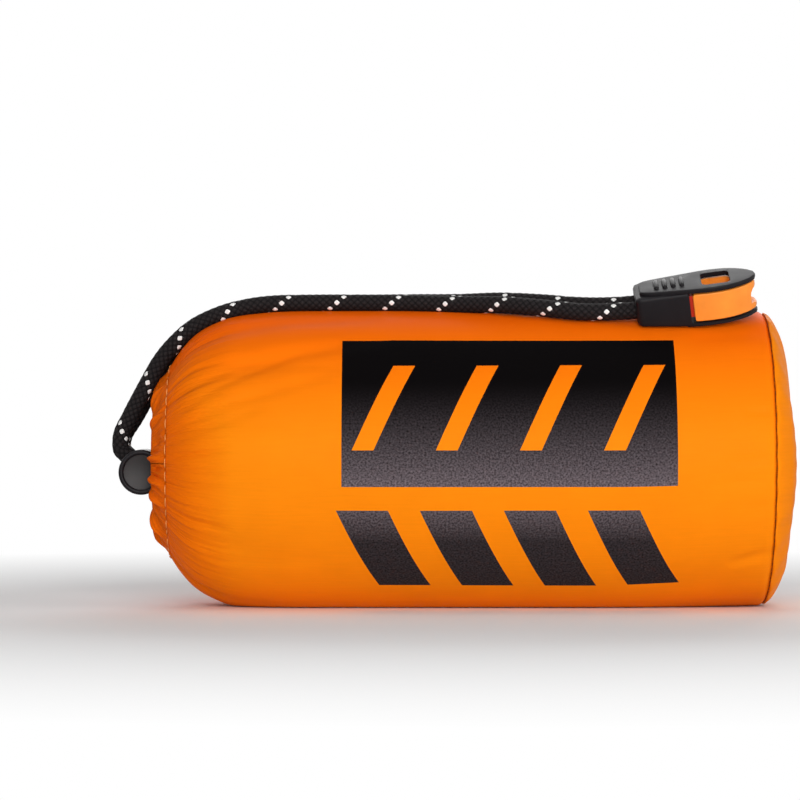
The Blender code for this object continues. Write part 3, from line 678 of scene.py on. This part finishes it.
def print_over(finish, flat, u, v, shade):
    """The colour of cloth with the print and its painted sheen on it, and a mask of the ink."""
    panel = finish.math("MULTIPLY", finish.between(u, PRINT_LEFT, PRINT_RIGHT),
                        finish.between(v, PANEL_LOW, PANEL_HIGH))
    inset = (PANEL_HIGH - PANEL_LOW) * PANEL_INSET
    bare = slanted_bars(finish, u, v, PANEL_LOW + inset, PANEL_HIGH - inset, BAR_SLANT, BARE_FILL)
    row = slanted_bars(finish, u, v, ROW_LOW, ROW_HIGH, -BAR_SLANT, ROW_FILL)
    ink = finish.math("MAXIMUM", finish.math("SUBTRACT", panel, bare), row)
    speck = finish.add("TexNoise", Vector=flat, Scale=2300.0, Detail=3.0).outputs[0]
    speck = finish.add("MapRange", Value=speck, From_Min=0.22, From_Max=0.80).outputs[0]
    # Painted sheen: the black ink is mixed towards grey, most at the panel's lower edge, little on
    # the row below.
    rise = finish.add("MapRange", Value=v, From_Min=0.020, From_Max=-0.005).outputs[0]
    fall = finish.add("MapRange", Value=v, From_Min=-0.007, From_Max=-0.018, To_Min=1.0,
                      To_Max=0.22).outputs[0]
    painted_sheen = finish.math("MULTIPLY", finish.math("POWER", rise, 2.0), fall)
    black = finish.mix(finish.math("MULTIPLY", painted_sheen, speck), (0.0028, 0.0022, 0.0024),
                       (0.24, 0.195, 0.215))
    return finish.mix(ink, shade, black), ink


print("printed panel in mm:", round((PRINT_RIGHT - PRINT_LEFT) * 1000, 1), "x",
      round((PANEL_HIGH - PANEL_LOW) * 1000, 1))

# %% [markdown]
# ## The cloth's finish
#
# The coated nylon has a plain weave, far finer than a fold, and a soft sheen. Shade is
# painted into its colour: the orange is mixed with a darker, redder one towards the sides,
# away from the front, and towards the gathered mouth, and the hem is painted in a shaded
# orange all over. The finest pleats at the mouth are bump, because they are narrower than
# the mesh can show.

# %% Cloth finish
WEAVE_SCALE = 8000.0
WEAVE_DEPTH = 0.000004
PLEAT_DEPTH = 0.0009
CLOTH_ROUGHNESS = 0.42
ORANGE = (0.90, 0.235, 0.004)
# Painted shade: the hem, of the same nylon, is coloured a darker, redder orange all over.
SHADED_RED_ORANGE = (0.86, 0.14, 0.003)
# Painted shade: a darker, redder orange that is mixed in towards the sides and the mouth.
SHADE_ORANGE = (0.949, 0.110, 0.0010)
PAINTED_SHADE_SHARE = 0.85
FRONT_MIDDLE = -0.013
SHADE_SIDE_START, SHADE_SIDE_REACH = 0.018, 0.036
SHADE_MOUTH_START, SHADE_MOUTH_REACH = -0.053, 0.019


def drawn_noise(finish, flat, scale, detail):
    """Noise that is drawn out into lines along the cloth."""
    place = finish.add("Mapping", Vector=flat, Scale=scale).outputs[0]
    return finish.add("TexNoise", Vector=place, Scale=1.0, Detail=detail).outputs[0]


def cloth_finish(name, colour, printed=False, pleats=None):
    """Coated nylon: weave, faint unevenness of tone, fine pleats, and, if printed, painted shade
    and the print.
    """
    finish = Finish(name, colour, CLOTH_ROUGHNESS)
    flat = finish.add("UVMap", uv_map="flat").outputs[0]
    split = finish.add("SeparateXYZ", Vector=flat)
    u, v = split.outputs[0], split.outputs[1]
    warp = finish.math("SINE", finish.math("MULTIPLY", u, WEAVE_SCALE * math.pi))
    weft = finish.math("SINE", finish.math("MULTIPLY", v, WEAVE_SCALE * math.pi))
    woven = finish.bump(finish.math("MULTIPLY", warp, weft), WEAVE_DEPTH)
    if pleats:
        start, reach = pleats
        crowd = finish.ramp(start, u, reach)
        lines = drawn_noise(finish, flat, (70.0, 620.0, 1.0), 3.0)
        finish.bump(finish.math("MULTIPLY", lines, crowd), PLEAT_DEPTH, woven)
    cloud = finish.add("TexNoise", Vector=flat, Scale=55.0, Detail=4.0, Roughness=0.6).outputs[0]
    slubs = drawn_noise(finish, flat, (120.0, 2200.0, 1.0), 2.0)
    tone = finish.math("ADD", finish.math("MULTIPLY", cloud, 0.6),
                       finish.math("MULTIPLY", slubs, 0.4))
    shade = finish.mix(tone, [c * 0.86 for c in colour], [min(1.0, c * 1.12) for c in colour])
    if printed:
        # Painted shade: the orange is darkened towards the sides, away from the front middle, and
        # towards the gathered mouth.
        aside = finish.math("ABSOLUTE", finish.math("SUBTRACT", v, FRONT_MIDDLE))
        deep = finish.math("MAXIMUM", finish.ramp(aside, SHADE_SIDE_START, SHADE_SIDE_REACH),
                           finish.ramp(SHADE_MOUTH_START, u, SHADE_MOUTH_REACH))
        shade = finish.mix(finish.math("MULTIPLY", deep, PAINTED_SHADE_SHARE), shade, SHADE_ORANGE)
        shade, ink = print_over(finish, flat, u, v, shade)
        finish.rough(finish.math("ADD", finish.math("MULTIPLY", ink, 0.1), CLOTH_ROUGHNESS))
    finish.colour(shade)
    finish.set("Specular IOR Level", 0.01)
    return finish.material


sack_cloth = cloth_finish("printed_nylon_painted_shade", ORANGE, printed=True, pleats=(-0.050, 0.016))
# The hem's colour is painted shade on the same orange nylon.
hem_cloth = cloth_finish("gathered_nylon_painted_shade", SHADED_RED_ORANGE, pleats=(1.0, 1.0))
plain_cloth = cloth_finish("plain_nylon", ORANGE)
print("cloth finishes:", sack_cloth.name, hem_cloth.name, plain_cloth.name)

# %% [markdown]
# ## The tube of cloth
#
# The tube starts at its profile's radius, and the gathers, the creases, the slow waves
# and the groove of the back seam are taken away from it. At both ends the waves fade,
# and the edge at the base rolls in to meet the panel.

# %% Sack cloth
CLOTH_ALONG, CLOTH_AROUND = 164, 300
WAVE_DEPTH, WAVE_SIZE = 0.00045, 0.016
EDGE_REACH = 0.004
ROLL_IN, ROLL_REACH = 0.0007, 0.0012
SEAM_GROOVE, SEAM_WIDTH = 0.0003, 0.0007
bm, shares, station, radius, turn, cloth_length = round_sheet(PROFILE, CLOTH_ALONG, CLOTH_AROUND)
angle = turn % (2 * np.pi)
back = np.maximum(station - MOUTH_STITCH, 0.0)
gathered = gather_valleys(angle, back) * GATHER_DEPTH
creased = crease_valleys(station, angle)
waves = WAVE_DEPTH * (soft_waves(station, angle, WAVE_SIZE) * 0.5 - 0.5)
edge = ease(back / EDGE_REACH) * ease((BASE_SEAM - station) / EDGE_REACH)
roll_in = ROLL_IN * (1 - ease((BASE_SEAM - station) / ROLL_REACH))
seam = SEAM_GROOVE * np.exp(-(((angle - np.pi) * SACK_RADIUS / SEAM_WIDTH) ** 2))
radius = radius + CLOTH_STAND - gathered - creased - np.abs(waves) * edge - roll_in - seam
flat_places = np.stack([station, (turn - 2 * np.pi) * SACK_RADIUS], axis=1)
wrap_sheet(bm, cloth_place(station, radius, angle), flat_places)
sack = cloth_piece("sack_cloth", bm, sack_cloth, "sack_body")
print("cloth length along the profile in mm:", round(cloth_length * 1000, 1))

# %% [markdown]
# ## The gathered hem
#
# The mouth's edge is folded over the drawcord and stitched down, which makes a soft tube
# round the opening. Gathering it crowds its cloth into ruffles that stand out past the
# edge. The same folds that start the valleys on the shoulder ruffle the hem, so that
# they run on across the stitches.

# %% Mouth hem
HEM_PROFILE = [
    (-0.0675, 0.0225), (-0.0684, 0.0211), (-0.0696, 0.0196), (-0.0708, 0.0174), (-0.0718, 0.0150),
    (-0.0721, 0.0128), (-0.0714, 0.0108), (-0.0698, 0.0099), (-0.0680, 0.0101),
    (-0.0668, 0.0116), (-0.0664, 0.0140), (-0.0668, 0.0170), (-0.0677, 0.0200),
]
HEM_ALONG, HEM_AROUND = 44, 360
RUFFLE = 0.0013
RUFFLE_OUT, RUFFLE_IN = 0.9, 0.55
SMALL_RUFFLES, SMALL_SHARE = 47, 0.22
TIP_RISE = 0.0016
TIP_WIDTH = 0.048
TIP_SPAN = 2.2
TIP_ANGLES = [1.03, 0.60, 0.05, -0.24, -0.49, -0.98, 1.55, 2.05, 2.50, 2.90, 3.40, 3.85, 4.30, 4.80]
TUCK_START, TUCK_REACH = 0.06, 0.2
CORD_COVER = 0.0005
bm, shares, station, radius, turn, hem_width = round_sheet(HEM_PROFILE, HEM_ALONG, HEM_AROUND)
angle = turn % (2 * np.pi)
valleys = gather_valleys(angle, np.zeros_like(angle))
small = np.sin(angle * SMALL_RUFFLES + 2.5 * np.sin(angle * 5)) * SMALL_SHARE + SMALL_SHARE
rise = RUFFLE * (valleys + small) * ease(1.35 - shares[:, 0] * 1.9)
tips = sum(np.exp(-((((angle - tip + np.pi) % (2 * np.pi) - np.pi) / TIP_WIDTH) ** 2))
           for tip in TIP_ANGLES)
rise = rise - TIP_RISE * tips * np.sin(np.pi * np.clip(shares[:, 0] * TIP_SPAN, 0, 1))
free = ease((shares[:, 0] - TUCK_START) / TUCK_REACH)
station = station + rise * RUFFLE_OUT * free
radius = radius + CLOTH_STAND - rise * RUFFLE_IN * free - GATHER_DEPTH * valleys * (1 - free)
# The cord in the hem holds its cloth out, however deep a fold is.
far_along, far_out = station - CHANNEL_STATION, radius - CHANNEL_RADIUS
pushed = np.maximum(1.0, (CORD_RADIUS + CORD_COVER) / np.hypot(far_along, far_out))
station = CHANNEL_STATION + far_along * pushed
radius = CHANNEL_RADIUS + far_out * pushed
flat_places = np.stack([shares[:, 0] * hem_width, angle * SACK_RADIUS], axis=1)
wrap_sheet(bm, cloth_place(station, radius, angle), flat_places)
hem = cloth_piece("mouth_hem", bm, hem_cloth, "mouth_channel")
print("hem's cloth round the cord in mm:", round(hem_width * 1000, 1))

# %% [markdown]
# ## The base panel
#
# A round panel closes the other end. It is sewn in with the edges turned inside, so
# the seam is a narrow groove, with the thread lying in it, and the panel bulges softly
# where the roll pushes on it. Short puckers run in from the seam.

# %% Base panel
BASE_PROFILE = [
    (0.0663, 0.0324), (0.0666, 0.0329), (0.0672, 0.0325), (0.0683, 0.0312), (0.0696, 0.0291),
    (0.0705, 0.0271), (0.0713, 0.0237), (0.0717, 0.0206), (0.0720, 0.0165), (0.0722, 0.0120),
    (0.0723, 0.0070), (0.0723, 0.0030), (0.0723, 0.0004),
]
BASE_ALONG, BASE_AROUND = 70, 240
PUCKER = 0.00045
PUCKERS = 31
RIM_REACH, RIM_START = 0.22, 0.03
BULGE_START, BULGE_SHARE = 0.2, 1.3
HOLE_EDGE = 0.0001
bm, shares, station, radius, turn, base_reach = round_sheet(BASE_PROFILE, BASE_ALONG, BASE_AROUND)
angle = turn % (2 * np.pi)
radius = radius + CLOTH_STAND * (1 - shares[:, 0])
rim = np.exp(-shares[:, 0] / RIM_REACH) * ease(shares[:, 0] / RIM_START)
pucker = (0.5 + 0.5 * np.sin(angle * PUCKERS + 2.0 * np.sin(angle * 3))) * rim
left, up = radius * np.cos(angle), radius * np.sin(angle)
waves = np.sin(170 * left + 60 * up + 0.7) * np.sin(120 * up - 70 * left + 0.4) - 0.5
station = station + PUCKER * (-pucker + waves * ease(shares[:, 0] / BULGE_START) * BULGE_SHARE)
places = cloth_place(station, radius, angle)
wrap_sheet(bm, places, places[:, 1:3] - np.array([0.0, AXIS_HEIGHT]))
hole_edges = [e for e in bm.edges if e.is_boundary and e.calc_length() < HOLE_EDGE]
bmesh.ops.holes_fill(bm, edges=hole_edges, sides=0)
bmesh.ops.recalc_face_normals(bm, faces=bm.faces)
base = cloth_piece("base_panel", bm, plain_cloth, "sack_base")
print("panel from seam to middle in mm:", round(base_reach * 1000, 1))

# %% [markdown]
# ## The stitches
#
# All three seams are run with thread. On the base and the back it is dark and sinks into
# the groove, and on the hem it is the cloth's own orange, in longer stitches. A stitch is
# a sphere stretched along the seam and bent so that it dips at both ends. It has few
# faces, because over two hundred copies of it follow the seams.


# %% Stitches
def thread_finish(name, colour):
    """Matt thread with a fine twist."""
    finish = Finish(name, colour, 0.6)
    where = finish.add("TexCoord").outputs["Object"]
    twist = finish.add("TexNoise", Vector=where, Scale=4000.0, Detail=1.0).outputs[0]
    finish.colour(finish.mix(twist, [c * 0.7 for c in colour], colour))
    finish.bump(twist, 0.00002)
    return finish.material


def stitch_row(name, count, place_at, finish, length, thickness, dip):
    """Short threads along a seam; place_at gives the middle, way and outward normal."""
    bm = bmesh.new()
    for k in range(count):
        middle, way, normal = place_at(k / count)
        made = bmesh.ops.create_uvsphere(bm, u_segments=6, v_segments=5, radius=0.5)["verts"]
        side = way.cross(normal).normalized()
        turn = Matrix((way.normalized(), side, normal)).transposed()
        for vert in made:
            x, y, z = vert.co
            spot = Vector((x * length, y * thickness, z * thickness - dip * (2 * x) ** 2))
            vert.co = middle + turn @ spot
    bmesh.ops.recalc_face_normals(bm, faces=bm.faces)
    piece = new_piece(name, bm, finish)
    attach(piece, "sack")
    print(name, "made:", count)


dark_thread = thread_finish("seam_thread", (0.16, 0.045, 0.012))
hem_thread = thread_finish("hem_thread", (0.95, 0.34, 0.07))

# %% Base seam
BASE_STITCH_STATION, BASE_STITCH_RADIUS = 0.06635, 0.03265
BASE_STITCH_TURN = 0.01


def base_place(share):
    """A stitch in the groove between the tube and the base panel."""
    angle = np.array([share * 2 * np.pi])
    station, radius = np.array([BASE_STITCH_STATION]), np.array([BASE_STITCH_RADIUS])
    a, b = (Vector(cloth_place(station, radius, angle + d)[0])
            for d in (-BASE_STITCH_TURN, BASE_STITCH_TURN))
    middle = (a + b) / 2
    normal = Vector((0.0, middle.y, middle.z - AXIS_HEIGHT)).normalized()
    return middle, (b - a).normalized(), normal


stitch_row("base_stitches", 120, base_place, dark_thread,
           length=0.00135, thickness=0.0003, dip=0.0001)

# %% Back seam
BACK_START, BACK_END = -0.0600, 0.0640
BACK_STITCH_STEP = 0.004


def back_place(share):
    """A stitch on the seam that closes the tube of cloth, along the sack's back."""
    profile = sorted(PROFILE)
    spots = []
    for along in (share - BACK_STITCH_STEP, share + BACK_STITCH_STEP):
        station = np.array([BACK_START + (BACK_END - BACK_START) * along])
        radius = np.interp(station, [x for x, r in profile], [r for x, r in profile])
        spots.append(Vector(cloth_place(station, radius + CLOTH_STAND - SEAM_GROOVE,
                                        np.array([np.pi]))[0]))
    return (spots[0] + spots[1]) / 2, (spots[1] - spots[0]).normalized(), Vector((0.0, 1.0, 0.0))


stitch_row("back_stitches", 52, back_place, dark_thread,
           length=0.0019, thickness=0.0003, dip=0.0001)

# %% Hem seam
HEM_STITCH_STATION, HEM_STITCH_RADIUS = MOUTH_STITCH - 0.0001, 0.0217
HEM_STITCH_TURN = 0.02
HEM_STITCH_LEAN = 0.7


def hem_place(share):
    """A stitch on the hem's line, sunk into the gathers with the cloth."""
    angle = np.array([share * 2 * np.pi])
    spots = []
    for d in (-HEM_STITCH_TURN, 0.0, HEM_STITCH_TURN):
        deep = gather_valleys(angle + d, np.zeros(1)) * GATHER_DEPTH
        radius = HEM_STITCH_RADIUS + CLOTH_STAND - deep
        spots.append(Vector(cloth_place(np.array([HEM_STITCH_STATION]), radius, angle + d)[0]))
    across = (spots[1] - Vector((0, 0, AXIS_HEIGHT))).yz.normalized()
    normal = Vector((-HEM_STITCH_LEAN, *across * HEM_STITCH_LEAN))
    way = (spots[2] - spots[0]).normalized()
    normal = (normal - way * normal.dot(way)).normalized()
    return spots[1], way, normal


stitch_row("hem_stitches", 46, hem_place, hem_thread,
           length=0.0026, thickness=0.00028, dip=0.00012)

# %% [markdown]
# ## Moulded plastic
#
# The whistle and the cord lock are injection moulded. The black plastic is satin with a
# fine grain, and the whistle's orange core is a little glossier. Shade is painted on the
# core's neck, next to the black sleeve, as a dark red, so its finish changes colour at a
# place along the whistle.


# %% Moulded plastic
def plastic_finish(name, colour, roughness, grain, specular, neck_shade=None):
    """Satin plastic; neck_shade is a way, a reach along it, and the painted shade's colour up to
    that reach.
    """
    finish = Finish(name, colour, roughness)
    where = finish.add("TexCoord").outputs["Object"]
    fine = finish.add("TexNoise", Vector=where, Scale=2200.0, Detail=3.0).outputs[0]
    broad = finish.add("TexNoise", Vector=where, Scale=260.0, Detail=4.0).outputs[0]
    finish.bump(fine, grain)
    tone = finish.mix(broad, [c * 0.82 for c in colour], [min(1.0, c * 1.15) for c in colour])
    # Painted shade: up to a reach along the whistle, the tone gives way to a shaded colour.
    if neck_shade:
        way, limit, shade = neck_shade
        reach = finish.add("VectorMath", operation="DOT_PRODUCT", i0=where, i1=way).outputs["Value"]
        tone = finish.mix(finish.math("LESS_THAN", reach, limit), tone, shade)
    finish.colour(tone)
    finish.rough(finish.math("ADD", finish.math("MULTIPLY", broad, 0.16), roughness - 0.08))
    finish.set("Specular IOR Level", specular)
    return finish.material


print("the plastic's helper is ready")

# %% [markdown]
# ## The whistle's place
#
# The whistle lies on the sack, rolled a little to the front and tipped up towards its far
# end. Its foot and its own directions are worked out again here, from the sizes of the CAD
# model, because the neck's painted shade and the grip ribs are placed by them.

# %% Whistle frame and finishes
WHISTLE_STATION = 0.0372
WHISTLE_ROLL = math.radians(21)
WHISTLE_PITCH = math.radians(8)
WHISTLE_HEIGHT = 0.009
SLEEVE_LENGTH = 0.012
CLEARANCE = 0.0003
NECK_END = 0.0128
# Painted shade on the core's neck, next to the black sleeve: a dark red.
NECK_SHADE_RED = (0.55, 0.025, 0.006)
out = Vector((0.0, -math.sin(WHISTLE_ROLL), math.cos(WHISTLE_ROLL)))
ahead = Vector((1.0, 0.0, 0.0))
along = ahead * math.cos(WHISTLE_PITCH) + out * math.sin(WHISTLE_PITCH)
up = out * math.cos(WHISTLE_PITCH) - ahead * math.sin(WHISTLE_PITCH)
foot = (Vector((WHISTLE_STATION, 0.0, AXIS_HEIGHT))
        + out * (SACK_RADIUS + CLEARANCE - SLEEVE_LENGTH * math.sin(WHISTLE_PITCH)))

whistle_black = plastic_finish("whistle_black", (0.010, 0.0085, 0.010), 0.42,
                               grain=0.00001, specular=0.12)
whistle_orange = plastic_finish("whistle_orange", (0.90, 0.27, 0.03), 0.38,
                                grain=0.000004, specular=0.25,
                                neck_shade=(along, foot.dot(along) + NECK_END, NECK_SHADE_RED))
lock_black = plastic_finish("lock_black", (0.030, 0.027, 0.027), 0.42,
                            grain=0.000006, specular=0.16)
print("whistle's foot in mm:", [round(value * 1000, 1) for value in foot])

# %% [markdown]
# ## Rounded mouldings
#
# The shapes are right in the CAD model, but a mould leaves no sharp edge. A copy of each
# CAD mesh is merged, its flat regions are joined into whole faces, and its edges get a
# small bevel. Weighted normals keep the flat faces looking flat beside it.

# %% Rounded mouldings
FLAT_ANGLE, EDGE_ANGLE = math.radians(1.5), math.radians(35)


def moulded(node, body, finish, width, sharp_angle=32):
    """A copy of a CAD node's mesh with its edges rounded as a mould leaves them."""
    bm = bmesh.new()
    bm.from_mesh(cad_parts[node].data)
    bmesh.ops.remove_doubles(bm, verts=bm.verts, dist=MERGE_DISTANCE)
    bmesh.ops.dissolve_limit(bm, angle_limit=FLAT_ANGLE, verts=bm.verts, edges=bm.edges)
    sharp = [e for e in bm.edges if len(e.link_faces) == 2
             and e.calc_face_angle(0.0) > EDGE_ANGLE and e.calc_length() > width * 0.5]
    bmesh.ops.bevel(bm, geom=sharp, offset=width, segments=3, profile=0.5, affect="EDGES",
                    clamp_overlap=True, material=-1)
    bmesh.ops.triangulate(bm, faces=[f for f in bm.faces if len(f.verts) > 4])
    piece = new_piece(node + "_moulded", bm, finish)
    piece.data.set_sharp_from_angle(angle=math.radians(sharp_angle))
    flats = piece.modifiers.new("flats", "WEIGHTED_NORMAL")
    flats.keep_sharp = True
    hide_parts(node)
    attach(piece, body)
    print(node, "rounded edges:", len(sharp))


moulded("whistle_shell", "whistle", whistle_black, width=0.00018)
moulded("whistle_core", "whistle", whistle_orange, width=0.00022)

# %% [markdown]
# ## Grip ribs and the lock's rim
#
# These small forms are rounder than the CAD solids can show. A rib is a sphere whose two
# halves are pulled apart, sunk to its middle in the whistle's top. The rim is a small
# circle that is spun round the lock's axis.

# %% Grip ribs
RIB_COUNT, RIB_START, RIB_PITCH = 4, 0.0047, 0.0019
RIB_WIDTH, RIB_LENGTH, RIB_SWELL = 0.0008, 0.0052, 0.00055
RIB_OVER_WIDTH, RIB_OVER_LENGTH = 0.0004, 0.0002
RIB_MIDDLE = 0.02


def round_bar(bm, length, width, height, place):
    """Add a bar with round ends, half sunk: a sphere whose halves are pulled apart."""
    made = bmesh.ops.create_uvsphere(bm, u_segments=16, v_segments=12, radius=0.5)["verts"]
    for vert in made:
        x, y, z = vert.co
        stretch = math.copysign((length - width) / 2, y) if abs(y) > RIB_MIDDLE else 0.0
        vert.co = place @ Vector((x * width, y * width + stretch, z * 2 * height))


bm = bmesh.new()
turn = Matrix((along, up.cross(along), up)).transposed().to_4x4()
for k in range(RIB_COUNT):
    middle = foot + along * (RIB_START + RIB_PITCH * k + RIB_WIDTH / 2) + up * WHISTLE_HEIGHT
    round_bar(bm, RIB_LENGTH + RIB_OVER_LENGTH, RIB_WIDTH + RIB_OVER_WIDTH, RIB_SWELL,
              Matrix.Translation(middle) @ turn)
ribs = new_piece("whistle_ribs", bm, whistle_black)
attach(ribs, "whistle")
print("grip ribs:", RIB_COUNT)

# %% Lock rim and lock mouldings
LOCK_FACE = -0.00905
LOCK_RADIUS = 0.0051
RIM_TUBE = 0.0006
RIM_PROUD = 0.6
RIM_SIDES, RIM_STEPS = 16, 64
bm = bmesh.new()
turns = [2 * math.pi * k / RIM_SIDES for k in range(RIM_SIDES)]
ring = [bm.verts.new((LOCK_RADIUS - RIM_TUBE + RIM_TUBE * math.cos(turn),
                      RIM_TUBE * math.sin(turn), 0.0)) for turn in turns]
hoop = [bm.edges.new((a, b)) for a, b in zip(ring, ring[1:] + ring[:1])]
bmesh.ops.spin(bm, geom=[*ring, *hoop], axis=(0, 1, 0), cent=(0, 0, 0), angle=2 * math.pi,
               steps=RIM_STEPS, use_merge=True)
bmesh.ops.remove_doubles(bm, verts=bm.verts, dist=1e-6)
bmesh.ops.recalc_face_normals(bm, faces=bm.faces)
rim_place = LOCK_CENTRE + Vector((0.0, LOCK_FACE + RIM_TUBE * RIM_PROUD, 0.0))
bmesh.ops.translate(bm, verts=bm.verts, vec=rim_place)
rim = new_piece("lock_rim", bm, whistle_black)
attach(rim, "lock")
moulded("cord_lock_body", "lock", lock_black, width=0.0001, sharp_angle=14)
moulded("cord_lock_button", "lock_button", lock_black, width=0.0002)

# %% [markdown]
# ## What lies out of sight
#
# The rolled film, the line in its core, the seam and the lock's spring keep their CAD
# shapes. The film has a bright, creased skin, the line and the seam a fine twist, and the
# spring the dull shine of drawn wire.


# %% Hidden pieces
def film_finish():
    """Bright film with broad creases."""
    finish = Finish("silver_film", (0.62, 0.64, 0.66), 0.28)
    where = finish.add("TexCoord").outputs["Object"]
    creases = finish.add("TexNoise", Vector=where, Scale=130.0, Detail=6.0).outputs[0]
    finish.bump(creases, 0.0004)
    finish.colour(finish.mix(creases, (0.45, 0.47, 0.50), (0.80, 0.82, 0.84)))
    finish.set("Metallic", 0.7)
    return finish.material


for node, finish in (("tent_roll", film_finish()),
                     ("side_seam", thread_finish("seam_tape", (0.75, 0.2, 0.015))),
                     ("ridge_line_hank", thread_finish("pale_line", (0.8, 0.8, 0.76)))):
    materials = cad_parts[node].data.materials
    for k in range(len(materials)):
        materials[k] = finish
    print(node, "has its finish:", finish.name)

# %% [markdown]
# ## The lock's spring
#
# The spring is squeezed when the button is pressed. A merged copy of its CAD mesh takes
# its place.


def wire_finish():
    """Drawn steel wire."""
    finish = Finish("spring_wire", (0.55, 0.55, 0.57), 0.3)
    where = finish.add("TexCoord").outputs["Object"]
    drawn = finish.add("TexNoise", Vector=where, Scale=900.0).outputs[0]
    finish.rough(finish.math("ADD", finish.math("MULTIPLY", drawn, 0.2), 0.2))
    finish.bump(drawn, 0.000005)
    finish.set("Metallic", 1.0)
    return finish.material


bm = bmesh.new()
bm.from_mesh(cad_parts["cord_lock_spring"].data)
bmesh.ops.remove_doubles(bm, verts=bm.verts, dist=MERGE_DISTANCE)
spring = new_piece("lock_spring", bm, wire_finish())
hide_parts("cord_lock_spring")
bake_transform(spring)

# %% [markdown]
# ## The light
#
# The sack lies in soft light: a large lamp in front and a little above it, weaker ones
# from the right and from overhead, one behind it, and a pale world. The world is white
# where the camera or a reflection sees it, and it lights the sack at a lower level.


# %% Lamps
def lamp(name, place, target, size, watts):
    """Add a square area lamp that faces a target."""
    data = bpy.data.lights.new(name, "AREA")
    data.size = size
    data.energy = watts
    made = bpy.data.objects.new(name, data)
    made.location = place
    way = Vector(target) - Vector(place)
    made.rotation_euler = way.to_track_quat("-Z", "Y").to_euler()
    scene.collection.objects.link(made)
    print(name, "lamp in watts:", watts)


lamp("key", (0.05, -0.95, 0.24), (0.0, 0.0, 0.03), size=0.46, watts=6.2)
lamp("side", (0.80, -0.45, 0.22), (0.0, 0.0, 0.03), size=0.40, watts=2.0)
lamp("top", (-0.15, -0.25, 0.9), (0.0, 0.0, 0.03), size=0.6, watts=0.7)
lamp("back", (0.1, 0.9, 0.5), (0.0, 0.0, 0.04), size=0.6, watts=3.4)

# %% World
WORLD_LEVEL = 0.24
world = bpy.data.worlds.new("studio")
scene.world = world
world.use_nodes = True
nodes, links = world.node_tree.nodes, world.node_tree.links
ground = nodes["Background"]
ground.inputs[0].default_value = (1.0, 1.0, 1.0, 1.0)
ray = nodes.new("ShaderNodeLightPath")


def world_math(operation, *values):
    """A Math node's result in the world's own tree, for numbers or sockets."""
    node = nodes.new("ShaderNodeMath")
    node.operation = operation
    for socket, value in zip(node.inputs, values):
        if isinstance(value, bpy.types.NodeSocket):
            links.new(value, socket)
        else:
            socket.default_value = value
    return node.outputs[0]


seen = world_math("MAXIMUM", ray.outputs["Is Camera Ray"], ray.outputs["Is Transmission Ray"])
seen = world_math("MAXIMUM", seen, ray.outputs["Is Glossy Ray"])
links.new(world_math("MULTIPLY_ADD", seen, 1.0 - WORLD_LEVEL, WORLD_LEVEL), ground.inputs[1])
scene.view_settings.view_transform = "Standard"
print("the world lights at", WORLD_LEVEL)

# %% [markdown]
# ## The floor
#
# A plain pale floor keeps the sack's shadow. Further out it glows white where the camera
# sees it, so the ground goes over into the white world without an edge.

# %% Floor
FLOOR_SIZE = 6.0
FLOOR_DROP = 0.0001
FLOOR_NEAR, FLOOR_FAR = 0.12, 0.30
bm = bmesh.new()
bmesh.ops.create_grid(bm, x_segments=1, y_segments=1, size=FLOOR_SIZE)
bmesh.ops.translate(bm, verts=bm.verts, vec=(0.0, 0.0, -FLOOR_DROP))
floor_finish = Finish("floor", (0.93, 0.93, 0.93), 0.9)
floor_finish.set("Specular IOR Level", 0.1)
where = floor_finish.add("TexCoord").outputs["Object"]
reach = floor_finish.add("VectorMath", operation="LENGTH", i0=where).outputs["Value"]
far = floor_finish.add("MapRange", Value=reach, From_Min=FLOOR_NEAR, From_Max=FLOOR_FAR).outputs[0]
seen = floor_finish.add("LightPath").outputs["Is Camera Ray"]
glow = floor_finish.add("Emission", Color=(1.0, 1.0, 1.0, 1.0), Strength=1.0).outputs[0]
blend = floor_finish.add("MixShader", i0=floor_finish.math("MULTIPLY", far, seen),
                         i1=floor_finish.shader.outputs[0], i2=glow)
floor_finish.links.new(blend.outputs[0], floor_finish.nodes["Material Output"].inputs["Surface"])
floor = new_piece("floor", bm, floor_finish.material, smooth=False)
print("floor glows from", FLOOR_NEAR, "to", FLOOR_FAR, "m out")
